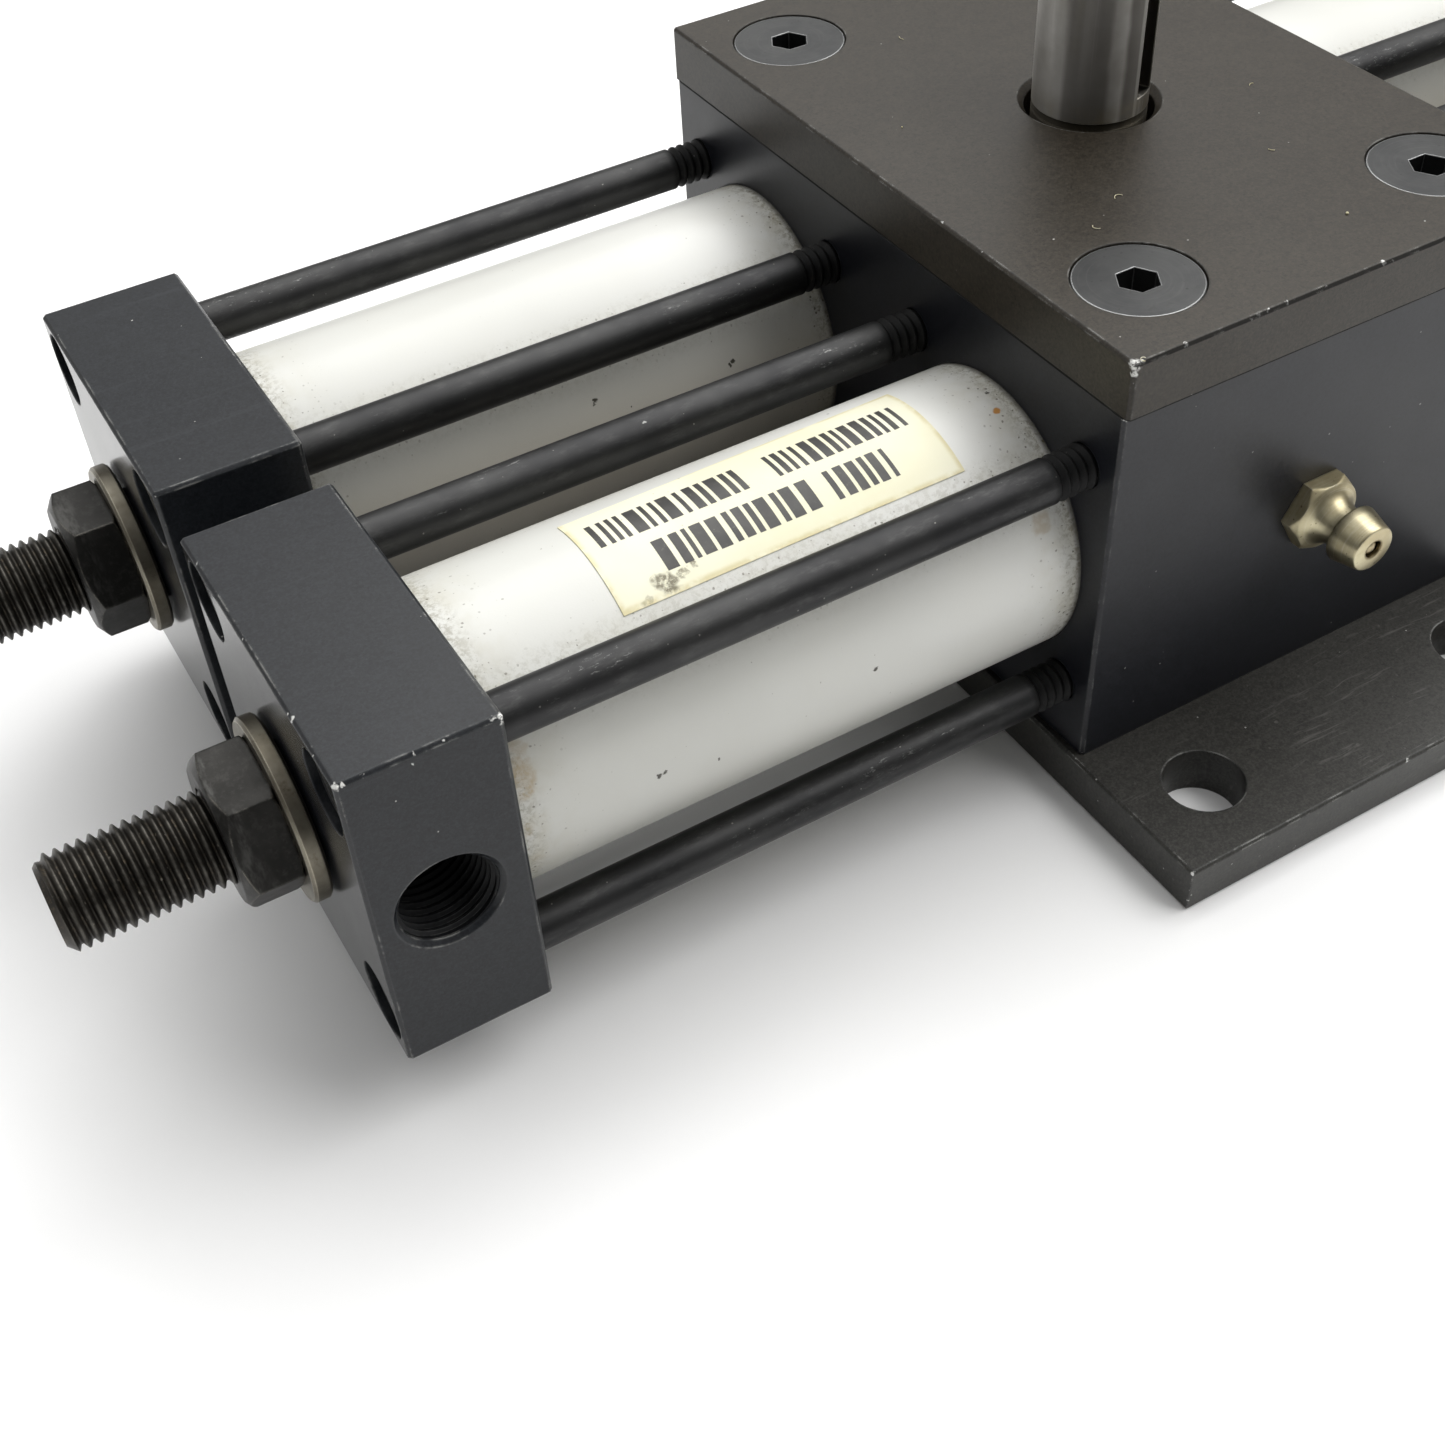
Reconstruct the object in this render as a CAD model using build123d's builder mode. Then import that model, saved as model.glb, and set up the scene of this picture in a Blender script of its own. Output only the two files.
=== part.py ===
from build123d import *
import math
import os

# Double-rack pneumatic rotary actuator.
# Frame: origin on the output shaft axis at the underside of the mounting flange.
# +Z up the shaft, +X along the cylinders, -Y (front) is the side with the grease fitting.
# All sizes in millimetres. _R is a radius, _AF a hexagon's size across flats.
# LOW and HIGH are heights in z, IN and OUT distances from x = 0 along the cylinders.

ROWS = (("front", -1), ("rear", 1))             # name and sign of y
SIDES = (("left", -1), ("right", 1))            # name and sign of x
SIGN_PAIRS = [(sx, sy) for sx in (-1, 1) for sy in (-1, 1)]
INCH = 25.4

# ---------------------------------------------------------------- housing, cover, flange
HALF_X = 2.25 * INCH / 2                        # half width of housing and cover
BODY_HALF_Y = 42.1
COVER_HALF_Y = 42.6
FLANGE_T = 5.9
BODY_TOP = 50.8
COVER_TOP = 57.15
EDGE = 0.35                                     # broken edges on the machined blocks
FACE_EDGE = 0.3                                 # broken edges around the large flat faces
CHAMBER_R = 18.0                                # gear chamber

# ---------------------------------------------------------------- countersunk screws
COVER_SCREW_X, COVER_SCREW_Y = 19.1, 31.5
FLANGE_SCREW_X, FLANGE_SCREW_Y = 12.0, 33.0     # entered from below
SCREW_R, SCREW_HEAD_R = 3.175, 6.5
SCREW_SINK = 0.12                               # head face below the surface
SCREW_HOLE_R = SCREW_R + 0.15
THREAD_GAP = 0.02                               # radial gap in every tapped hole
CSK_TAN = math.tan(math.radians(82 / 2))        # 82 degree countersink
CSK_RIM = 0.5                                   # straight rim above the cone
CSK_MOUTH_R, CSK_END_R = SCREW_HEAD_R + 0.12, SCREW_R + 0.1
CSK_H = (CSK_MOUTH_R - CSK_END_R) / CSK_TAN

# ---------------------------------------------------------------- cylinders
CYL_Y, CYL_Z = 22.8, 28.1
TUBE_R, BORE_R = 15.875, 14.29
CAP_IN, CAP_OUT = 93.1, 108.4                   # faces of the end caps
CAP_SOCKET = 95.5                               # bottom of the tube socket in a cap
HOUSE_SOCKET = 24.6                             # bottom of the tube socket in the housing
SOCKET_R = 15.92
GASKET_T = 0.8
TUBE_IN, TUBE_OUT = HOUSE_SOCKET + GASKET_T, CAP_SOCKET - GASKET_T
BOLT_OFFSET = 14.4                              # tie bolt from the cylinder axis, in y and z
BOLT_R = 2.41
BOLT_IN = 22.8                                  # inner end of a tie bolt
CBORE_DEPTH = 5.6
BOLT_SEAT = CAP_OUT - CBORE_DEPTH
BOLT_SPOTS = [(BOLT_OFFSET * y, BOLT_OFFSET * z) for y, z in ((1, 1), (-1, 1), (-1, -1), (1, -1))]
STUD_HOLE_R = 4.85                              # stroke adjuster hole

# ---------------------------------------------------------------- gearing, racks, bearings
MODULE = 1.5875
TEETH = 20
PITCH_R = MODULE * TEETH / 2
PRESSURE = math.radians(20)
BACKLASH = 0.10
DEDENDUM = 1.25 * MODULE
GEAR_W = 19.0
GEAR_LOW, GEAR_HIGH = CYL_Z - GEAR_W / 2, CYL_Z + GEAR_W / 2
SHAFT_R, MID_R = 6.35, 7.9375                   # journals and thick middle section
LOWER_BEARING, UPPER_BEARING = 9.95, 39.95      # lower face of each bearing
BEARING_W, BEARING_R = 6.35, 14.2875
BEARING_SEAT_R = BEARING_R + 0.0125
BEARING_GAP = 0.02                              # axial gap beside a bearing
SEAL_POCKET_R = 11.0
KEY_W, KEY_L = 3.175, 16.0
KEY_SINK = 1.6                                  # depth of the pinion key in the shaft
KEY_GAP = 0.02
RACK_R = 9.525
BUSHING_R, BUSHING_SEAT = 11.5, 16.3            # bushing seats in the housing, inner end

# ---------------------------------------------------------------- pistons and their screws
PISTON_IN, PISTON_OUT = 53.3, 67.3
PISTON_R = 14.15
# grooves: start and end measured inwards from the outer face of a piston, floor radius
GROOVES = {"seal": (2.0, 5.2, 11.2), "band": (6.2, 8.8, 13.0), "magnet": (9.8, 12.6, 11.8)}
PSCREW_R, PSCREW_HEAD_R, PSCREW_HEAD_H = 3.1, 4.76, 6.3
SMALL_HEX_AF, LARGE_HEX_AF = 3.97, 4.76         # hexagon sockets

# ---------------------------------------------------------------- grease fitting, along -Y
GREASE_Z = CYL_Z
GREASE_R = 3.175
GREASE_IN, GREASE_TIP = -37.3, -50.9            # ends of the fitting in y

os.makedirs("parts", exist_ok=True)


def row_plane(row, x):
    """Plane normal to +X on a row's cylinder axis; its local x runs +Y, local y +Z."""
    return Plane(origin=(x, row * CYL_Y, CYL_Z), x_dir=(0, 1, 0), z_dir=(1, 0, 0))


def span_plane(row, side, start, end):
    """row_plane at the lower x of a span given as two distances from x = 0 on one side."""
    return row_plane(row, min(side * start, side * end))


def grease_plane(y):
    """Plane normal to -Y on the axis of the grease fitting; local x runs +X, local y +Z."""
    return Plane(origin=(0, y, GREASE_Z), x_dir=(1, 0, 0), z_dir=(0, -1, 0))


def save(piece, name):
    piece.part.label = name
    export_step(piece.part, f"parts/{name}.step")


# ================================================================ mounting flange
FLANGE_HALF_X, FLANGE_HALF_Y = 29.55, 61.7
FOOT_X, FOOT_Y, FOOT_R = 19.9, 52.2, 4.5        # mounting holes

with BuildPart() as mounting_flange:
    with BuildSketch(Plane.XY):
        Rectangle(2 * FLANGE_HALF_X, 2 * FLANGE_HALF_Y)
    extrude(amount=FLANGE_T)
    chamfer(mounting_flange.edges().group_by(Axis.Z)[-1], FACE_EDGE)
    chamfer(mounting_flange.edges().group_by(Axis.Z)[0], FACE_EDGE)
    with Locations(Plane.XY.offset(FLANGE_T)):
        with GridLocations(2 * FOOT_X, 2 * FOOT_Y, 2, 2):
            Hole(radius=FOOT_R)
    # screw holes countersunk from the underside
    with BuildSketch(Plane.XY):
        with GridLocations(2 * FLANGE_SCREW_X, 2 * FLANGE_SCREW_Y, 2, 2):
            Circle(SCREW_HOLE_R)
    extrude(amount=FLANGE_T, mode=Mode.SUBTRACT)
    with BuildSketch(Plane.XY):
        with GridLocations(2 * FLANGE_SCREW_X, 2 * FLANGE_SCREW_Y, 2, 2):
            Circle(CSK_MOUTH_R)
    extrude(amount=CSK_RIM, mode=Mode.SUBTRACT)
    cone_z = CSK_RIM + CSK_H / 2
    with Locations(*[(sx * FLANGE_SCREW_X, sy * FLANGE_SCREW_Y, cone_z) for sx, sy in SIGN_PAIRS]):
        Cone(bottom_radius=CSK_MOUTH_R, top_radius=CSK_END_R, height=CSK_H, mode=Mode.SUBTRACT)
save(mounting_flange, "mounting_flange")

# ================================================================ gear housing
CHAMBER_LOW = 16.8
RELIEF_BELOW_BEARING = 9.2
COVER_TAP_LOW = 40.0
FLANGE_TAP_DEPTH = 9.0
TIE_TAP_IN = BOLT_IN - 0.1
GREASE_TAP_DEPTH = 5.2
GREASE_PASSAGE_R, GREASE_PASSAGE_DEPTH = 1.5, 12.0

with BuildPart() as gear_housing:
    with BuildSketch(Plane.XY.offset(FLANGE_T)):
        Rectangle(2 * HALF_X, 2 * BODY_HALF_Y)
    extrude(amount=BODY_TOP - FLANGE_T)
    chamfer(gear_housing.edges().filter_by(Axis.Z), EDGE)
    # gear chamber, open at the top; below it the lower bearing seat and a relief
    with BuildSketch(Plane.XY.offset(CHAMBER_LOW)):
        Circle(CHAMBER_R)
    extrude(amount=BODY_TOP - CHAMBER_LOW, mode=Mode.SUBTRACT)
    with BuildSketch(Plane.XY.offset(LOWER_BEARING - BEARING_GAP)):
        Circle(BEARING_SEAT_R)
    extrude(amount=8, mode=Mode.SUBTRACT)
    with BuildSketch(Plane.XY.offset(RELIEF_BELOW_BEARING)):
        Circle(11.0)
    extrude(amount=2, mode=Mode.SUBTRACT)
    # two rack bores straight through, with bushing seats and tube sockets at both ends
    for row in (-1, 1):
        with BuildSketch(row_plane(row, -HALF_X)):
            Circle(RACK_R + 0.35)
        extrude(amount=2 * HALF_X, mode=Mode.SUBTRACT)
        for side in (-1, 1):
            with BuildSketch(span_plane(row, side, BUSHING_SEAT, HALF_X)):
                Circle(BUSHING_R)
            extrude(amount=HALF_X - BUSHING_SEAT, mode=Mode.SUBTRACT)
            with BuildSketch(span_plane(row, side, HOUSE_SOCKET, HALF_X)):
                Circle(SOCKET_R)
            extrude(amount=HALF_X - HOUSE_SOCKET, mode=Mode.SUBTRACT)
            # tapped holes for the tie bolts
            with BuildSketch(span_plane(row, side, TIE_TAP_IN, HALF_X)):
                with Locations(*BOLT_SPOTS):
                    Circle(BOLT_R + THREAD_GAP)
            extrude(amount=HALF_X - TIE_TAP_IN, mode=Mode.SUBTRACT)
    # tapped holes for the cover screws and the flange screws
    with BuildSketch(Plane.XY.offset(COVER_TAP_LOW)):
        with GridLocations(2 * COVER_SCREW_X, 2 * COVER_SCREW_Y, 2, 2):
            Circle(SCREW_R + THREAD_GAP)
    extrude(amount=BODY_TOP - COVER_TAP_LOW, mode=Mode.SUBTRACT)
    with BuildSketch(Plane.XY.offset(FLANGE_T)):
        with GridLocations(2 * FLANGE_SCREW_X, 2 * FLANGE_SCREW_Y, 2, 2):
            Circle(SCREW_R + THREAD_GAP)
    extrude(amount=FLANGE_TAP_DEPTH, mode=Mode.SUBTRACT)
    # grease passage from the front face into the front rack bore
    with BuildSketch(grease_plane(-BODY_HALF_Y)):
        Circle(GREASE_PASSAGE_R)
    extrude(amount=-GREASE_PASSAGE_DEPTH, mode=Mode.SUBTRACT)
    with BuildSketch(grease_plane(-BODY_HALF_Y)):
        Circle(GREASE_R + THREAD_GAP)
    extrude(amount=-GREASE_TAP_DEPTH, mode=Mode.SUBTRACT)
save(gear_housing, "gear_housing")

# ================================================================ top cover with bearing boss
BOSS_R, BOSS_LOW = CHAMBER_R - 0.05, 40.3
BEARING_CUT_LOW = BOSS_LOW - 0.3
SEAL_POCKET_LOW, SEAL_POCKET_HIGH = 46.0, 51.5
SHAFT_HOLE_R, SHAFT_HOLE_LOW = 7.15, 51.0
SHAFT_MOUTH_R, SHAFT_MOUTH_DEPTH = 7.9, 0.75    # chamfered mouth of the shaft hole

with BuildPart() as top_cover:
    with BuildSketch(Plane.XY.offset(BODY_TOP)):
        Rectangle(2 * HALF_X, 2 * COVER_HALF_Y)
    extrude(amount=COVER_TOP - BODY_TOP)
    chamfer(top_cover.edges().group_by(Axis.Z)[-1], FACE_EDGE)
    chamfer(top_cover.edges().filter_by(Axis.Z), EDGE)
    # boss reaching 1 mm up into the plate
    with BuildSketch(Plane.XY.offset(BOSS_LOW)):
        Circle(BOSS_R)
    extrude(amount=BODY_TOP - BOSS_LOW + 1.0)
    # from below: bearing seat, seal pocket, shaft hole
    with BuildSketch(Plane.XY.offset(BEARING_CUT_LOW)):
        Circle(BEARING_SEAT_R)
    extrude(amount=UPPER_BEARING + BEARING_W + BEARING_GAP - BEARING_CUT_LOW, mode=Mode.SUBTRACT)
    with BuildSketch(Plane.XY.offset(SEAL_POCKET_LOW)):
        Circle(SEAL_POCKET_R)
    extrude(amount=SEAL_POCKET_HIGH - SEAL_POCKET_LOW, mode=Mode.SUBTRACT)
    with BuildSketch(Plane.XY.offset(SHAFT_HOLE_LOW)):
        Circle(SHAFT_HOLE_R)
    extrude(amount=10, mode=Mode.SUBTRACT)
    with BuildSketch(Plane.XY.offset(COVER_TOP - SHAFT_MOUTH_DEPTH)):
        Circle(SHAFT_HOLE_R)
    with BuildSketch(Plane.XY.offset(COVER_TOP)):
        Circle(SHAFT_MOUTH_R)
    loft(mode=Mode.SUBTRACT)
    # screw holes countersunk from the top
    with BuildSketch(Plane.XY.offset(BODY_TOP)):
        with GridLocations(2 * COVER_SCREW_X, 2 * COVER_SCREW_Y, 2, 2):
            Circle(SCREW_HOLE_R)
    extrude(amount=COVER_TOP - BODY_TOP, mode=Mode.SUBTRACT)
    with BuildSketch(Plane.XY.offset(COVER_TOP - CSK_RIM)):
        with GridLocations(2 * COVER_SCREW_X, 2 * COVER_SCREW_Y, 2, 2):
            Circle(CSK_MOUTH_R)
    extrude(amount=2 * CSK_RIM, mode=Mode.SUBTRACT)
    cone_z = COVER_TOP - CSK_RIM - CSK_H / 2
    with Locations(*[(sx * COVER_SCREW_X, sy * COVER_SCREW_Y, cone_z) for sx, sy in SIGN_PAIRS]):
        Cone(bottom_radius=CSK_END_R, top_radius=CSK_MOUTH_R, height=CSK_H, mode=Mode.SUBTRACT)
save(top_cover, "top_cover")

# ================================================================ cover and flange screws
HEAD_BEVEL, HEAD_RIM, TIP_BEVEL = 0.12, 0.35, 0.6


def flat_head_screw(x, y, z_head, up, length):
    """Flat-head screw with a hex socket; up is +1 when the head faces +Z, -1 for -Z."""
    head_h = (SCREW_HEAD_R - SCREW_R) / CSK_TAN + HEAD_RIM
    place = Plane(origin=(x, y, z_head), x_dir=(1, 0, 0), z_dir=(0, 0, up))
    with BuildPart(place, mode=Mode.PRIVATE) as screw:
        with BuildSketch(Plane.XZ):
            with BuildLine():
                Polyline(
                    (0, 0), (SCREW_HEAD_R - HEAD_BEVEL, 0), (SCREW_HEAD_R, -HEAD_BEVEL),
                    (SCREW_HEAD_R, -HEAD_RIM), (SCREW_R, -head_h),
                    (SCREW_R, -length + TIP_BEVEL), (SCREW_R - TIP_BEVEL, -length),
                    (0, -length), (0, 0),
                )
            make_face()
        revolve(axis=Axis.Z)
        with BuildSketch(Plane.XY):
            RegularPolygon(radius=SMALL_HEX_AF / 2, side_count=6, major_radius=False)
        extrude(amount=-2.6, mode=Mode.SUBTRACT)
    return screw.part.moved(Location(place))


# name, x, y, z of the head face, direction of the head, length
for name, screw_x, screw_y, z_head, up, length in (
    ("cover_screws", COVER_SCREW_X, COVER_SCREW_Y, COVER_TOP - SCREW_SINK, 1, 16.4),
    ("flange_screws", FLANGE_SCREW_X, FLANGE_SCREW_Y, SCREW_SINK, -1, 14.2),
):
    screws = [flat_head_screw(sx * screw_x, sy * screw_y, z_head, up, length)
              for sx, sy in SIGN_PAIRS]
    with BuildPart() as screw_set:
        for screw in screws:
            add(screw)
    save(screw_set, name)

# ================================================================ output shaft
SHAFT_LOW, SHAFT_TOP = 9.9, 88.9
LOW_BEVEL, TOP_BEVEL = 0.5, 0.8
# shallow relief that ends the output journal at the cover face
RELIEF_LOW, RELIEF_HIGH = 56.3, COVER_TOP + 0.05
RELIEF_R = SHAFT_R - 0.25
KEYWAY_ANGLE = math.radians(-64.0)              # around Z from +X
KEYWAY_LOW, KEYWAY_DEPTH = 59.1, 1.85
KEYWAY_END = SHAFT_TOP + 1                      # the cutter passes the shaft end

key_plane = Plane(origin=(0, MID_R - KEY_SINK, CYL_Z), x_dir=(1, 0, 0), z_dir=(0, 1, 0))
radial_x, radial_y = math.cos(KEYWAY_ANGLE), math.sin(KEYWAY_ANGLE)
keyway_floor = SHAFT_R - KEYWAY_DEPTH
profile_plane = Plane(
    origin=(0, 0, 0), x_dir=(radial_x, radial_y, 0), z_dir=(radial_y, -radial_x, 0))
keyway_plane = Plane(
    origin=(radial_x * keyway_floor, radial_y * keyway_floor, 0),
    x_dir=(-radial_y, radial_x, 0),
    z_dir=(radial_x, radial_y, 0),
)
with BuildPart() as pinion_shaft:
    with BuildSketch(profile_plane):
        with BuildLine():
            Polyline(
                (0, SHAFT_LOW), (SHAFT_R - LOW_BEVEL, SHAFT_LOW), (SHAFT_R, SHAFT_LOW + LOW_BEVEL),
                (SHAFT_R, LOWER_BEARING + BEARING_W), (MID_R, LOWER_BEARING + BEARING_W),
                (MID_R, UPPER_BEARING), (SHAFT_R, UPPER_BEARING),
                (SHAFT_R, RELIEF_LOW), (RELIEF_R, RELIEF_LOW),
                (RELIEF_R, RELIEF_HIGH), (SHAFT_R, RELIEF_HIGH),
                (SHAFT_R, SHAFT_TOP - TOP_BEVEL), (SHAFT_R - TOP_BEVEL, SHAFT_TOP),
                (0, SHAFT_TOP), (0, SHAFT_LOW),
            )
        make_face()
    revolve(axis=Axis.Z)
    # seat for the pinion key in the thick middle section
    with BuildSketch(key_plane):
        Rectangle(KEY_W + KEY_GAP, KEY_L + 2 * KEY_GAP)
    extrude(amount=4, mode=Mode.SUBTRACT)
    # output keyway, open at the top, with a square end just above the cover
    with BuildSketch(keyway_plane):
        with Locations((0, (KEYWAY_LOW + KEYWAY_END) / 2)):
            Rectangle(KEY_W, KEYWAY_END - KEYWAY_LOW)
    extrude(amount=4, mode=Mode.SUBTRACT)
save(pinion_shaft, "pinion_shaft")

# ================================================================ pinion gear
BASE_R = PITCH_R * math.cos(PRESSURE)
TIP_R = PITCH_R + MODULE
ROOT_R = PITCH_R - DEDENDUM
FLANK_STEPS = 7


def involute_angle(radius):
    angle = math.acos(min(1.0, BASE_R / radius))
    return math.tan(angle) - angle


def gear_outline():
    """Closed outline of the involute teeth, the first tooth centred on +Y."""
    half_tooth = math.pi / (2 * TEETH) - BACKLASH / 2 / (2 * PITCH_R) + involute_angle(PITCH_R)
    # half a tooth from root to tip: radius, angle from the tooth centre
    flank = [(ROOT_R, half_tooth)]
    for i in range(FLANK_STEPS + 1):
        radius = BASE_R + (TIP_R - BASE_R) * i / FLANK_STEPS
        flank.append((radius, half_tooth - involute_angle(radius)))
    tooth = [(radius, -angle) for radius, angle in flank] + flank[::-1]
    points = []
    for k in range(TEETH):
        centre = 2 * math.pi * k / TEETH + math.pi / 2
        for radius, angle in tooth:
            points.append((radius * math.cos(centre + angle), radius * math.sin(centre + angle)))
    return points + points[:1]


with BuildPart() as pinion_gear:
    with BuildSketch(Plane.XY.offset(GEAR_LOW)):
        with BuildLine():
            Polyline(*gear_outline())
        make_face()
        Circle(MID_R + 0.005, mode=Mode.SUBTRACT)
        with Locations((0, MID_R + 0.4)):
            Rectangle(KEY_W + KEY_GAP, 2.5, mode=Mode.SUBTRACT)
    extrude(amount=GEAR_HIGH - GEAR_LOW)
save(pinion_gear, "pinion_gear")

with BuildPart() as pinion_key:
    with BuildSketch(key_plane):
        Rectangle(KEY_W, KEY_L)
    extrude(amount=2 * KEY_SINK)
save(pinion_key, "pinion_key")

# spacers between the gear and the two bearings
SPACER_R, SPACER_GAP = 9.6, 0.02
with BuildPart() as pinion_spacers:
    for low, high in ((LOWER_BEARING + BEARING_W, GEAR_LOW), (GEAR_HIGH, UPPER_BEARING)):
        with BuildSketch(Plane.XY.offset(low + SPACER_GAP)):
            Circle(SPACER_R)
            Circle(MID_R + 0.01, mode=Mode.SUBTRACT)
        extrude(amount=high - low - 2 * SPACER_GAP)
save(pinion_spacers, "pinion_spacers")

# ================================================================ ball bearings
BALLS, BALL_R, BALL_PITCH_R = 9, 2.38125, 10.32
RACE_R = BALL_R + 0.04
OUTER_RING_BORE_R, INNER_RING_R = 12.0, 8.64
INNER_RING_BORE_R = SHAFT_R + 0.005
RING_BEVEL = 0.3
CAGE_IN_R, CAGE_OUT_R, CAGE_H = 9.5, 11.1, 5.7


def ball_bearing(name, low):
    """Rings, balls and cage of a bearing whose lower face is at z = low."""
    mid_z, high = low + BEARING_W / 2, low + BEARING_W
    outer_profile = [
        (OUTER_RING_BORE_R, low), (BEARING_R - RING_BEVEL, low), (BEARING_R, low + RING_BEVEL),
        (BEARING_R, high - RING_BEVEL), (BEARING_R - RING_BEVEL, high),
        (OUTER_RING_BORE_R, high), (OUTER_RING_BORE_R, low),
    ]
    inner_profile = [
        (INNER_RING_BORE_R, low), (INNER_RING_R, low), (INNER_RING_R, high),
        (INNER_RING_BORE_R, high), (INNER_RING_BORE_R, low),
    ]
    for ring_name, profile in (("outer", outer_profile), ("inner", inner_profile)):
        with BuildPart() as ring:
            with BuildSketch(Plane.XZ):
                with BuildLine():
                    Polyline(*profile)
                make_face()
                with Locations((BALL_PITCH_R, mid_z)):
                    Circle(RACE_R, mode=Mode.SUBTRACT)
            revolve(axis=Axis.Z)
        save(ring, f"{name}_{ring_name}_ring")
    with BuildPart() as balls:
        with Locations(Location((0, 0, mid_z))):
            with PolarLocations(BALL_PITCH_R, BALLS):
                Sphere(BALL_R)
    save(balls, f"{name}_balls")
    with BuildPart() as cage:
        with BuildSketch(Plane.XY.offset(mid_z - CAGE_H / 2)):
            Circle(CAGE_OUT_R)
            Circle(CAGE_IN_R, mode=Mode.SUBTRACT)
        extrude(amount=CAGE_H)
        # radial ball pockets, cut outwards from inside the cage
        for k in range(BALLS):
            angle = 2 * math.pi * k / BALLS
            cos, sin = math.cos(angle), math.sin(angle)
            pocket_plane = Plane(
                origin=(8 * cos, 8 * sin, mid_z), x_dir=(-sin, cos, 0), z_dir=(cos, sin, 0))
            with BuildSketch(pocket_plane):
                Circle(BALL_R + 0.06)
            extrude(amount=5, mode=Mode.SUBTRACT)
    save(cage, f"{name}_cage")


ball_bearing("lower_bearing", LOWER_BEARING)
ball_bearing("upper_bearing", UPPER_BEARING)

# ================================================================ shaft lip seal
LIP_R, SEAL_OUT_R = SHAFT_R + 0.05, SEAL_POCKET_R - 0.02
with BuildPart() as shaft_seal:
    with BuildSketch(Plane.XZ):
        with BuildLine():
            Polyline(   # radius, z
                (LIP_R, 48.2), (7.6, 47.0), (SEAL_OUT_R, 47.0), (SEAL_OUT_R, 51.4),
                (8.2, 51.4), (8.2, 49.2), (LIP_R, 48.9), (LIP_R, 48.2),
            )
        make_face()
    revolve(axis=Axis.Z)
save(shaft_seal, "shaft_seal")

# ================================================================ rack guide bushings
BUSHING_IN, BUSHING_OUT = BUSHING_SEAT + 0.05, HOUSE_SOCKET - 0.05
with BuildPart() as rack_bushings:
    for row in (-1, 1):
        for side in (1, -1):
            with BuildSketch(span_plane(row, side, BUSHING_IN, BUSHING_OUT)):
                Circle(BUSHING_R - 0.02)
                Circle(RACK_R + 0.04, mode=Mode.SUBTRACT)
            extrude(amount=BUSHING_OUT - BUSHING_IN)
save(rack_bushings, "rack_bushings")

# ================================================================ racks
TOOTH_PITCH = math.pi * MODULE
PITCH_OFFSET = CYL_Y - PITCH_R                  # rack axis to its pitch line
TIP_OFFSET = PITCH_OFFSET + MODULE
FLOOR_OFFSET = PITCH_OFFSET - DEDENDUM
OVERCUT = 0.1                                   # tooth space cutters pass the tips
HALF_SPACE = TOOTH_PITCH / 4 + BACKLASH / 4     # half a tooth space at the pitch line
HALF_MOUTH = HALF_SPACE + (MODULE + OVERCUT) * math.tan(PRESSURE)
HALF_FLOOR = HALF_SPACE - DEDENDUM * math.tan(PRESSURE)
FLAT_L, FLAT_CUT = 76, 5                        # length and cutter width of the tooth flat
PISTON_TAP_DEPTH = 13.0


def make_rack(name, row):
    with BuildPart() as rack:
        with BuildSketch(row_plane(row, -PISTON_IN)):
            Circle(RACK_R)
        extrude(amount=2 * PISTON_IN)
        chamfer(rack.edges().filter_by(GeomType.CIRCLE), 0.4)
        # flat on the side that faces the pinion, at the tooth tips
        tooth_plane = Plane(
            origin=(0, row * CYL_Y, CYL_Z - RACK_R - 1), x_dir=(1, 0, 0), z_dir=(0, 0, 1))
        with BuildSketch(tooth_plane):
            with Locations((0, -row * (TIP_OFFSET + FLAT_CUT / 2))):
                Rectangle(FLAT_L, FLAT_CUT)
        extrude(amount=2 * RACK_R + 2, mode=Mode.SUBTRACT)
        # tooth spaces, the middle one on the pinion axis
        mouth_y, floor_y = -row * (TIP_OFFSET + OVERCUT), -row * FLOOR_OFFSET
        with BuildSketch(tooth_plane):
            for k in range(-7, 8):
                x = k * TOOTH_PITCH
                with BuildLine():
                    Polyline(
                        (x - HALF_MOUTH, mouth_y), (x - HALF_FLOOR, floor_y),
                        (x + HALF_FLOOR, floor_y), (x + HALF_MOUTH, mouth_y),
                        (x - HALF_MOUTH, mouth_y),
                    )
                make_face()
        extrude(amount=2 * RACK_R + 2, mode=Mode.SUBTRACT)
        # tapped holes for the piston screws
        for side in (-1, 1):
            with BuildSketch(span_plane(row, side, PISTON_IN - PISTON_TAP_DEPTH, PISTON_IN)):
                Circle(PSCREW_R + THREAD_GAP)
            extrude(amount=PISTON_TAP_DEPTH, mode=Mode.SUBTRACT)
    save(rack, name)


for row_name, row in ROWS:
    make_rack(f"{row_name}_rack", row)

# ================================================================ pistons, rings, piston screws
RING_GAP = 0.03                                 # ring to each groove wall
LIP_IN_R, LIP_OUT_R, LIP_DEPTH = 12.2, 13.3, 1.2
PSCREW_SEAT = PISTON_OUT - PSCREW_HEAD_H
PSCREW_HEAD_IN = PSCREW_SEAT + 0.02
PSCREW_IN = PISTON_IN - 12.5
PSCREW_HEX_DEPTH = 3.2


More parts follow.
